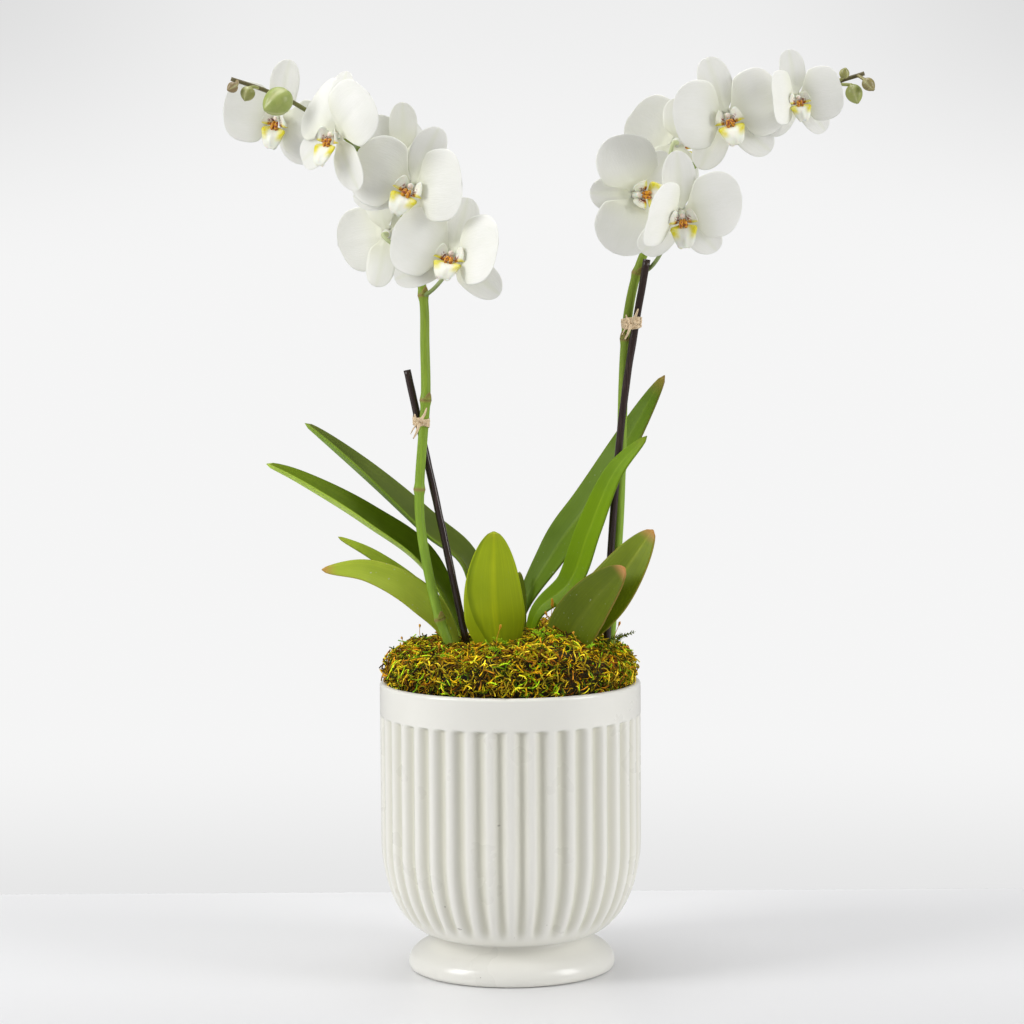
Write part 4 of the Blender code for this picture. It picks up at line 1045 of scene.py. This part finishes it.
# ================================================================ flower stalks
# The stalk of each flower grows from its own node on the spike and swells a little into the
# ovary behind the flower. It is green at the spike and nearly white at the flower.
STALK_RADIUS = 1.2
STALK_ROWS = 40
stalk_skin, tree, shader = new_finish("stalk_skin", 0.45, Coat_Weight=0.1,
                                      Subsurface_Weight=0.15,
                                      Subsurface_Radius=(0.002, 0.002, 0.001))
pale = smooth_range(tree, mark_of(tree, "along"), 0.1, 0.95)
fibre = speckle(tree, place_of(tree), 500.0, 2.0)
tree.links.new(tint(tree, pale, (0.20, 0.27, 0.075), (0.56, 0.60, 0.34)),
               shader.inputs["Base Color"])
tree.links.new(raised(tree, fibre, 0.0002, 0.5), shader.inputs["Normal"])

for name, spec in FLOWERS.items():
    spike = name.split("_")[0] + "_spike"
    base, spike_way = on_spike(spike, *spec["node"])
    face = facing(spec["turn"], spec["tip"], spec["spin"]).col[2]
    hub = Vector(spec["place"]) * MM
    behind = hub - face * 0.012
    leave = Vector(spec["leave"]) * MM if "leave" in spec else (behind - base).normalized() * 0.010
    away = (leave - leave.dot(spike_way) * spike_way).normalized()
    start = base + away * 0.0012
    mid = start + away * leave.length
    straight = hub - face * 0.006
    route = [(1 - t) ** 3 * start + 3 * (1 - t) ** 2 * t * mid + 3 * (1 - t) * t * t * behind
             + t ** 3 * straight for t in np.linspace(0, 1, 26)]
    route.append(hub - face * 0.0006)
    line = through(route, STALK_ROWS)
    s = np.linspace(0, 1, STALK_ROWS)
    swell = STALK_RADIUS * (1 + 0.55 * np.exp(-(s / 0.07) ** 2) + 0.35 * blend(0.7, 1.0, s))
    body, faces, along = tube(line, swell * MM, 12)
    stalk = name.replace("flower", "stalk")
    new_piece(stalk + "_skin", body, faces, stalk_skin, [stalk], {"along": along})


# ================================================================ buds
# Six unopened buds near the tips of the spikes, smaller and browner towards the ends. The three
# sepals meet edge to edge round each, which leaves three shallow seams.
BUDS = {
    "left_bud_1": dict(spike="left_spike", at=-128, place=(-132.5, -25, 513), aim=(-0.6, -0.5, -0.4),
                       length=20, girth=8.2, ripe=1.0),
    "left_bud_2": dict(spike="left_spike", at=-145, place=(-150, -19, 518),
                       aim=(-0.3, -0.4, -0.8), length=9, girth=4.4, ripe=0.6),
    "left_bud_3": dict(spike="left_spike", at=-156, place=(-158.5, -23, 521.5),
                       aim=(-0.6, -0.6, -0.4), length=7, girth=3.2, ripe=0.0),
    "right_bud_1": dict(spike="right_spike", at=188, place=(202, -14, 516), aim=(0.3, -0.3, -0.9),
                        length=12, girth=5.0, ripe=0.8),
    "right_bud_2": dict(spike="right_spike", at=192, place=(196, -16, 528), aim=(0.1, -0.6, 0.6),
                        length=7, girth=3.0, ripe=0.5),
    "right_bud_3": dict(spike="right_spike", at=205, place=(209.5, -22, 521), aim=(0.5, -0.3, -0.6),
                        length=9, girth=3.7, ripe=0.2),
}
BUD_SIDES = 36
BUD_STALK_ROWS = 12
BUD_HEAD_ROWS = 30
bud_skin, tree, shader = new_finish("bud_skin", 0.42, Coat_Weight=0.15, Subsurface_Weight=0.2,
                                    Subsurface_Radius=(0.003, 0.003, 0.001))
ripe, seam = mark_of(tree, "ripe"), mark_of(tree, "seam")
veined = speckle(tree, place_of(tree), 260.0, 3.0)
colour = tint(tree, ripe, (0.27, 0.19, 0.085), (0.36, 0.42, 0.11))
colour = tint(tree, smooth_range(tree, veined, 0.4, 0.7, 0.0, 0.6), colour,
              tint(tree, 1.0, colour, (0.72, 0.80, 0.62), "MULTIPLY"))
colour = tint(tree, sum_of(tree, "MULTIPLY", seam, 0.6), colour, (0.60, 0.60, 0.30))
tree.links.new(colour, shader.inputs["Base Color"])
tree.links.new(raised(tree, veined, 0.0003, 0.5), shader.inputs["Normal"])



def seam_groove(sides, width):
    """For each side of a bud, 1 on one of its three seams and 0 away from them."""
    gap = 2 * np.pi / 3
    turns = 2 * np.pi * np.arange(sides) / sides
    return np.exp(-((np.mod(turns, gap) - gap / 2) / width) ** 2)


def three_seams(rings, points):
    """Pulls a bud's rings in along its seams, where it is thick enough to have them."""
    out = rings - points[:, None, :]
    depth = 0.10 * blend(0.0015, 0.003, np.linalg.norm(out, axis=2))
    return -out * (seam_groove(rings.shape[1], 0.16)[None] * depth)[..., None]


for name, spec in BUDS.items():
    base, spike_way = on_spike(spec["spike"], spec["at"], "x")
    aim = Vector(spec["aim"]).normalized()
    length = spec["length"] * MM
    root = Vector(spec["place"]) * MM - aim * length / 2
    away = root - base
    away = (away - away.dot(spike_way) * spike_way).normalized()
    start = base + away * 0.001
    stalk = through([start, start.lerp(root, 0.5) - aim * 0.0005, root], BUD_STALK_ROWS)
    s = np.linspace(0.03, 1.0, BUD_HEAD_ROWS)
    line = np.concatenate([stalk, [tuple(root + aim * length * step) for step in s]])
    plump = spec["girth"] * MM * np.sin(np.pi * np.minimum(s, 0.985) ** 0.85) ** 0.6
    radii = np.concatenate([np.full(BUD_STALK_ROWS, 0.0010), np.maximum(plump, 0.0009)])
    body, faces, along = tube(line, radii, BUD_SIDES, three_seams)
    seam = np.concatenate([np.tile(seam_groove(BUD_SIDES, 0.20), len(line)), [0.0, 0.0]])
    new_piece(name + "_skin", body, faces, bud_skin, [name],
              {"ripe": np.full(len(body), spec["ripe"]), "seam": seam})


# ================================================================ moss
# Dried reindeer and sheet moss, pulled apart and laid over the bark up to the rim: a dark mat,
# darkened further as painted shade of the gaps between strands, under loose curled strands in
# gold, olive, green and brown, with a few seed stalks and some fresher shoots on top.
MOSS_CREST = 0.195


def moss_height(x, y):
    """Lumpy crest: highest a little right of the middle, lower at both sides."""
    crest = MOSS_CREST + 0.008 * math.exp(-((x - 0.027) / 0.022) ** 2)
    return crest + noise.noise(Vector((x, y, 0.0)) * 45.0) * 0.004


# painted shade: the mat is dark brown moss darkened towards black for the shade in the gaps between
# strands
gap_shade_mat_finish, tree, shader = new_finish("moss_mat", 0.95)
crumb = speckle(tree, place_of(tree), 330.0, 4.0, 0.7)
tree.links.new(tint(tree, smooth_range(tree, crumb, 0.35, 0.70), (0.010, 0.006, 0.001),
                    (0.07, 0.050, 0.002)), shader.inputs["Base Color"])
tree.links.new(raised(tree, crumb, 0.002), shader.inputs["Normal"])

MOUND_COLUMNS = 128
# From the bark up the side: radius, and either a height or how far the mat lies under the crest.
mound = [(0.0700, 0.1510, None), (0.0700, 0.1640, None), (0.0700, 0.1705, None),
         (0.0706, 0.1745, None), (0.0712, 0.1790, None), (0.0706, 0.1835, None)]
mound += [(r, None, drop) for r, drop in ((0.0690, 0.0095), (0.0665, 0.0075), (0.0630, 0.0060),
                                          (0.0580, 0.0050), (0.0500, 0.0040), (0.0420, 0.0035),
                                          (0.0330, 0.0030), (0.0240, 0.0030), (0.0150, 0.0030),
                                          (0.0070, 0.0030))]
vertices = []
for r, z, drop in mound:
    for k in range(MOUND_COLUMNS):
        a = 2 * math.pi * k / MOUND_COLUMNS
        x, y = r * math.cos(a), r * math.sin(a)
        level = moss_height(x, y) - drop if z is None else z
        push = noise.noise(Vector((x, y, level)) * 190.0) * 0.0014 if level > 0.172 else 0.0
        vertices.append((x * (1 + push / 0.075), y * (1 + push / 0.075), level + push))
vertices += [(0.0, 0.0, 0.1510), (0.0, 0.0, moss_height(0.0, 0.0) - 0.003)]
mat = new_piece("moss_mat", vertices, ring_faces(len(mound), MOUND_COLUMNS), gap_shade_mat_finish,
                ["moss"])

# Points are scattered over the mat above the rim, thicker in patches, and each gets one of five
# curled strands, turned and tipped at random. A strand is a thin three-sided tube.
shaper, given, result = new_shaper("moss_strands", {
    "Seed": 1, "Strands": 100000.0, "Patch Scale": 60.0, "Patch Shift": 0.0, "Patch From": 0.4,
    "Patch To": 0.6, "Strand Radius": 0.0002, "Curl Radius": 0.003, "Shortest": 0.6,
    "Longest": 1.4, "Above": 0.172})
spot = shaper.nodes.new("GeometryNodeInputPosition").outputs[0]
level = put(shaper, "ShaderNodeSeparateXYZ", {0: spot}).outputs["Z"]
shift = put(shaper, "ShaderNodeCombineXYZ", {0: given.outputs["Patch Shift"], 1: 0.0, 2: 0.0})
patch_place = put(shaper, "ShaderNodeVectorMath", {0: spot, 1: shift.outputs[0]})
patch = put(shaper, "ShaderNodeTexNoise", {"Vector": patch_place.outputs[0],
                                           "Scale": given.outputs["Patch Scale"],
                                           "Detail": 2.0}).outputs["Fac"]
thickness = smooth_range(shaper, patch, given.outputs["Patch From"], given.outputs["Patch To"],
                         0.12, 1.0)
above_rim = sum_of(shaper, "GREATER_THAN", level, given.outputs["Above"])
scatter = put(shaper, "GeometryNodeDistributePointsOnFaces", {
    "Mesh": given.outputs["Geometry"], "Seed": given.outputs["Seed"],
    "Density": sum_of(shaper, "MULTIPLY", sum_of(shaper, "MULTIPLY", thickness, above_rim),
                      given.outputs["Strands"])}, distribute_method="RANDOM")
strands = shaper.nodes.new("GeometryNodeJoinGeometry")
for turns, lean, rise in ((0.13, 0.9, 1.0), (0.18, 0.6, 1.3), (0.25, 0.7, 0.9), (0.34, 0.4, 1.2),
                          (0.50, 0.3, 1.0)):
    curl = put(shaper, "GeometryNodeCurveSpiral", {
        "Resolution": round(5 / turns), "Rotations": turns,
        "Start Radius": given.outputs["Curl Radius"],
        "End Radius": sum_of(shaper, "MULTIPLY", given.outputs["Curl Radius"], lean),
        "Height": sum_of(shaper, "MULTIPLY", given.outputs["Curl Radius"], rise)})
    factor = shaper.nodes.new("GeometryNodeSplineParameter").outputs["Factor"]
    taper = sum_of(shaper, "SUBTRACT", 1.0, sum_of(shaper, "MULTIPLY", factor, 0.75))
    section = put(shaper, "GeometryNodeCurvePrimitiveCircle", {
        "Resolution": 3, "Radius": given.outputs["Strand Radius"]})
    tapered = put(shaper, "GeometryNodeSetCurveRadius", {"Curve": curl.outputs[0],
                                                         "Radius": taper})
    strand = put(shaper, "GeometryNodeCurveToMesh", {"Curve": tapered.outputs[0],
                                                     "Profile Curve": section.outputs[0],
                                                     "Fill Caps": True})
    single = put(shaper, "GeometryNodeGeometryToInstance", {0: strand.outputs[0]})
    shaper.links.new(single.outputs[0], strands.inputs[0])


def drawn(low, high, kind="FLOAT", offset=0):
    """Random number or vector for each strand."""
    node = put(shaper, "FunctionNodeRandomValue", data_type=kind)
    live_socket(node.inputs, "Min").default_value = low
    live_socket(node.inputs, "Max").default_value = high
    shaper.links.new(sum_of(shaper, "ADD", given.outputs["Seed"], offset),
                     live_socket(node.inputs, "Seed"))
    return live_socket(node.outputs)


tip_over = put(shaper, "FunctionNodeEulerToRotation",
               {0: drawn((-1.5, -1.5, 0.0), (1.5, 1.5, 6.283), "FLOAT_VECTOR", 11)})
turned = put(shaper, "FunctionNodeRotateRotation", {0: scatter.outputs["Rotation"],
                                                    1: tip_over.outputs[0]},
             rotation_space="LOCAL")
length = put(shaper, "FunctionNodeRandomValue", data_type="FLOAT")
shaper.links.new(given.outputs["Shortest"], live_socket(length.inputs, "Min"))
shaper.links.new(given.outputs["Longest"], live_socket(length.inputs, "Max"))
laid = put(shaper, "GeometryNodeInstanceOnPoints", {
    "Points": scatter.outputs["Points"], "Instance": strands.outputs[0], "Pick Instance": True,
    "Rotation": turned.outputs[0], "Scale": live_socket(length.outputs)})
shaper.links.new(drawn(0, 4, "INT", 23), laid.inputs["Instance Index"])
named = put(shaper, "GeometryNodeStoreNamedAttribute", {"Geometry": laid.outputs[0],
                                                        "Name": "strand"}, domain="INSTANCE")
shaper.links.new(drawn(0.0, 1.0, "FLOAT", 37), live_socket(named.inputs))
real = put(shaper, "GeometryNodeRealizeInstances", {"Geometry": named.outputs[0]})
done = put(shaper, "GeometryNodeSetMaterial", {"Geometry": real.outputs[0],
                                               "Material": given.outputs["Material"]})
shaper.links.new(done.outputs[0], result.inputs[0])


def strand_finish(name, dull, middle, bright):
    """Dry moss in three tones, one strand differing from the next, with painted highlight and shade
    in patches.
    """
    material, tree, shader = new_finish(name, 0.7, Specular_IOR_Level=0.15)
    worn = speckle(tree, place_of(tree), 240.0, 2.0)
    pick = sum_of(tree, "ADD", sum_of(tree, "MULTIPLY", mark_of(tree, "strand"), 0.75),
                  sum_of(tree, "MULTIPLY", worn, 0.25))
    colour = tint(tree, smooth_range(tree, pick, 0.15, 0.50), dull, middle)
    colour = tint(tree, smooth_range(tree, pick, 0.55, 0.88), colour, bright)
    # painted highlight and shade: low-frequency patches lighten or darken the strands' colour
    fresh = smooth_range(tree, speckle(tree, place_of(tree), 190.0, 2.0), 0.38, 0.62)
    colour = tint(tree, fresh, tint(tree, 1.0, colour, (0.50, 0.44, 0.40), "MULTIPLY"),
                  tint(tree, 1.0, colour, (1.75, 1.68, 1.15), "MULTIPLY"))
    tree.links.new(colour, shader.inputs["Base Color"])
    return material


MOSSES = {
    "gold": dict(Seed=3, Strands=310000.0, Patch_Scale=50.0, Patch_Shift=0.0, Patch_From=0.30,
                 Patch_To=0.55, tones=((0.11, 0.045, 0.001), (0.66, 0.42, 0.004),
                                       (1.00, 0.84, 0.060))),
    "olive": dict(Seed=5, Strands=220000.0, Patch_Scale=46.0, Patch_Shift=3.0, Patch_From=0.35,
                  Patch_To=0.6, tones=((0.045, 0.045, 0.001), (0.36, 0.33, 0.003),
                                       (0.82, 0.78, 0.040))),
    "green": dict(Seed=7, Strands=240000.0, Patch_Scale=70.0, Patch_Shift=6.0, Patch_From=0.44,
                  Patch_To=0.62, tones=((0.018, 0.050, 0.001), (0.15, 0.33, 0.002),
                                        (0.46, 0.76, 0.020))),
    "brown": dict(Seed=9, Strands=180000.0, Patch_Scale=60.0, Patch_Shift=9.0, Patch_From=0.40,
                  Patch_To=0.62, tones=((0.018, 0.007, 0.001), (0.20, 0.070, 0.004),
                                        (0.74, 0.32, 0.020))),
}
for colour_name, spec in MOSSES.items():
    tones = spec.pop("tones")
    tuft = bpy.data.objects.new("moss_strands_" + colour_name, mat.data.copy())
    bpy.context.scene.collection.objects.link(tuft)
    shape_with(tuft, shaper, Strand_Radius=0.00028, Curl_Radius=0.0032, Shortest=0.5, Longest=1.6,
               Above=0.172, Material=strand_finish("dry_moss_" + colour_name, *tones), **spec)
    settle_piece(tuft, ["moss"])

# Seed stalks stand up out of the moss, each with a small nodding capsule.
chance = random.Random(11)
seed_finish, tree, shader = new_finish("seed_stalk", 0.6, Specular_IOR_Level=0.2)
tree.links.new(tint(tree, speckle(tree, place_of(tree), 300.0), (0.50, 0.19, 0.010),
                    (0.90, 0.48, 0.050)), shader.inputs["Base Color"])
bodies = []
STANDING = [(0.028, -0.006, 0.020), (0.021, -0.004, 0.016), (0.026, -0.010, 0.012),
            (0.034, -0.012, 0.011), (-0.008, -0.034, 0.012), (0.061, -0.010, 0.010)]
STANDING += [(chance.uniform(-0.065, 0.065), chance.uniform(-0.055, 0.055),
              chance.uniform(0.003, 0.008)) for _ in range(14)]
for x, y, tall in STANDING:
    if math.hypot(x, y) > 0.068:
        continue
    foot = Vector((x, y, moss_height(x, y) - 0.004))
    lean = Vector((chance.uniform(-0.3, 0.3), chance.uniform(-0.3, 0.1), 1.0))
    head = foot + lean * (tall + 0.004)
    bend = Vector((chance.uniform(-1, 1), chance.uniform(-1, 1), 0.0)) * 0.0012
    line = through([foot, foot.lerp(head, 0.5) + bend, head,
                    head + Vector((bend.x, bend.y, 0.0006)) * 0.8], 18)
    radii = 0.00024 * (1 - 0.4 * np.linspace(0, 1, 18))
    radii[-4:] = (0.0005, 0.00075, 0.0006, 0.0002)
    body, faces, along = tube(line, radii, 6)
    bodies.append((body, faces, {"along": along}))
body, faces, marks = joined(bodies)
new_piece("moss_seed_stalks", body, faces, seed_finish, ["moss"], marks)

# A few fresher shoots of feather moss lie on top: a thin stem with a row of leaflets each side,
# shortest at the tip. Those at the right edge are darker and curl away from the rest.
SHOOTS = [(0.003, -0.030, 16, "fresh"), (0.010, -0.034, 13, "fresh"), (0.016, -0.026, 15, "fresh"),
          (0.022, -0.036, 14, "fresh"), (-0.030, -0.044, 12, "fresh"), (0.030, -0.030, 12, "fresh"),
          (-0.046, -0.036, 11, "fresh"), (0.045, -0.046, 12, "fresh"), (-0.002, -0.052, 11, "fresh"),
          (0.063, -0.020, 10, "dark"), (0.058, -0.026, 8, "dark"), (0.064, -0.012, 7, "dark")]
SHOOT_COLOURS = {"fresh": ((0.16, 0.34, 0.003), (0.48, 0.82, 0.03)),
                 "dark": ((0.060, 0.090, 0.003), (0.20, 0.24, 0.01))}
shoots = {"fresh": [], "dark": []}
for x, y, tall, kind in SHOOTS:
    foot = Vector((x, y, moss_height(x, y) - 0.004))
    outward = Vector((x, y, 0.0)).normalized()
    over = Vector((chance.uniform(-0.9, 0.9), chance.uniform(-0.9, -0.2), 0.5))
    if kind == "dark":
        over = Vector((chance.uniform(-0.1, 0.2), outward.y * 0.2, 1.0))
    reach = tall * MM + 0.003
    sag = Vector((0.0, 0.0, -0.25)) + outward * (0.1 if kind == "fresh" else 1.2)
    line = through([foot, foot + over.normalized() * reach * 0.55,
                    foot + (over.normalized() + sag * 0.6) * reach], 22)
    body, faces, along = tube(line, 0.00030 * (1 - 0.6 * np.linspace(0, 1, 22)), 5)
    shoots[kind].append((body, faces, {"along": along}))
    for k in range(5, 21, 2):
        ahead = Vector(line[k + 1] - line[k - 1]).normalized()
        for hand in (-1, 1):
            across = ahead.cross(Vector((0.2, -1.0, 0.3))).normalized() * hand
            long = 0.0027 * (1 - 0.65 * (k - 5) / 16) * chance.uniform(0.5, 1.3)
            tip = Vector(line[k]) + (across * 0.8 + ahead * chance.uniform(0.2, 1.0)) * long
            body, faces, along = tube(through([line[k], tip], 5),
                                      0.00026 * np.array((1, 1.3, 1.1, 0.7, 0.2)), 4)
            shoots[kind].append((body, faces, {"along": along}))
for kind, bodies in shoots.items():
    shoot_finish, tree, shader = new_finish("feather_moss_" + kind, 0.7, Specular_IOR_Level=0.1)
    tree.links.new(tint(tree, mark_of(tree, "along"), *SHOOT_COLOURS[kind]),
                   shader.inputs["Base Color"])
    body, faces, marks = joined(bodies)
    new_piece("moss_shoots_" + kind, body, faces, shoot_finish, ["moss"], marks)


# ================================================================ studio
# A pale floor, painted darker towards the front as painted shade, that ends a little behind the
# pot against a white background with painted shade near the floor line, at the top and in its
# upper corners, a broad soft light at the left, a weaker one at the right, and the camera low in
# front.
floor_finish, tree, shader = new_finish("studio_floor", 0.35)
# painted shade: the floor's colour darkens towards the front
front = put(tree, "ShaderNodeSeparateXYZ", {0: place_of(tree)}).outputs["Y"]
tree.links.new(tint(tree, smooth_range(tree, front, -0.45, 0.10), (0.655, 0.655, 0.665),
                    (0.85, 0.85, 0.86)), shader.inputs["Base Color"])
floor_mesh = bpy.data.meshes.new("studio_floor")
floor_mesh.from_pydata([(-4, -4, 0), (4, -4, 0), (4, 0.215, 0), (-4, 0.215, 0)], [],
                       [(0, 1, 2, 3)])
floor_mesh.materials.append(floor_finish)
floor = bpy.data.objects.new("studio_floor", floor_mesh)
bpy.context.scene.collection.objects.link(floor)

AMBIENT = 0.39
CAMERA_PLACE = (0.0017, -1.8865, 0.4367)
CAMERA_DIP = 0.0869
CAMERA_ROLL = -0.0061
world = bpy.data.worlds.new("studio")
world.use_nodes = True
tree = world.node_tree
backdrop = tree.nodes["Background"]
way = put(tree, "ShaderNodeSeparateXYZ",
          {0: tree.nodes.new("ShaderNodeTexCoord").outputs["Generated"]})
rise = way.outputs["Z"]
# painted shade: the backdrop the camera sees darkens towards the floor line, towards the top and in
# its upper corners
seen = sum_of(tree, "MINIMUM", smooth_range(tree, rise, -0.215, -0.155, 0.78, 0.915),
              smooth_range(tree, rise, 0.0, 0.09, 0.915, 0.85))
aside = smooth_range(tree, sum_of(tree, "ABSOLUTE", way.outputs["X"]), 0.06, 0.18)
corner_shade = sum_of(tree, "MULTIPLY", aside, smooth_range(tree, rise, -0.02, 0.08, 0.0, 0.13))
seen = sum_of(tree, "SUBTRACT", seen, corner_shade)
sight = tree.nodes.new("ShaderNodeLightPath").outputs["Is Camera Ray"]
tree.links.new(tint(tree, sight, (AMBIENT, AMBIENT, AMBIENT), put(
    tree, "ShaderNodeCombineXYZ", {0: seen, 1: seen, 2: seen}).outputs[0]),
    backdrop.inputs["Color"])
bpy.context.scene.world = world
bpy.context.scene.view_settings.view_transform = "Standard"


def softbox(name, place, aimed_at, width, height, power):
    """Rectangular lamp of a power in watts, turned towards a point."""
    light = bpy.data.lights.new(name, "AREA")
    light.shape = "RECTANGLE"
    light.size, light.size_y, light.energy = width, height, power
    lamp = bpy.data.objects.new(name, light)
    lamp.location = place
    lamp.rotation_euler = (Vector(aimed_at) - Vector(place)).to_track_quat("-Z", "Y").to_euler()
    bpy.context.scene.collection.objects.link(lamp)


softbox("key_left", (-1.75, -0.75, 1.25), (0, 0, 0.28), 0.8, 1.2, 25.0)
softbox("fill_right", (1.75, -0.70, 0.95), (0, 0, 0.28), 0.8, 1.2, 18.0)
softbox("overhead", (-0.2, 0.25, 2.1), (0, 0.05, 0.0), 1.6, 1.2, 20.0)

camera = bpy.data.objects.new("front_camera", bpy.data.cameras.new("front_camera"))
camera.data.lens = 112.5
camera.data.sensor_width = 36.0
camera.location = CAMERA_PLACE
tilt = Matrix.Rotation(math.radians(90.0) - CAMERA_DIP, 4, "X")
camera.rotation_euler = (tilt @ Matrix.Rotation(CAMERA_ROLL, 4, "Z")).to_euler()
bpy.context.scene.collection.objects.link(camera)
bpy.context.scene.camera = camera
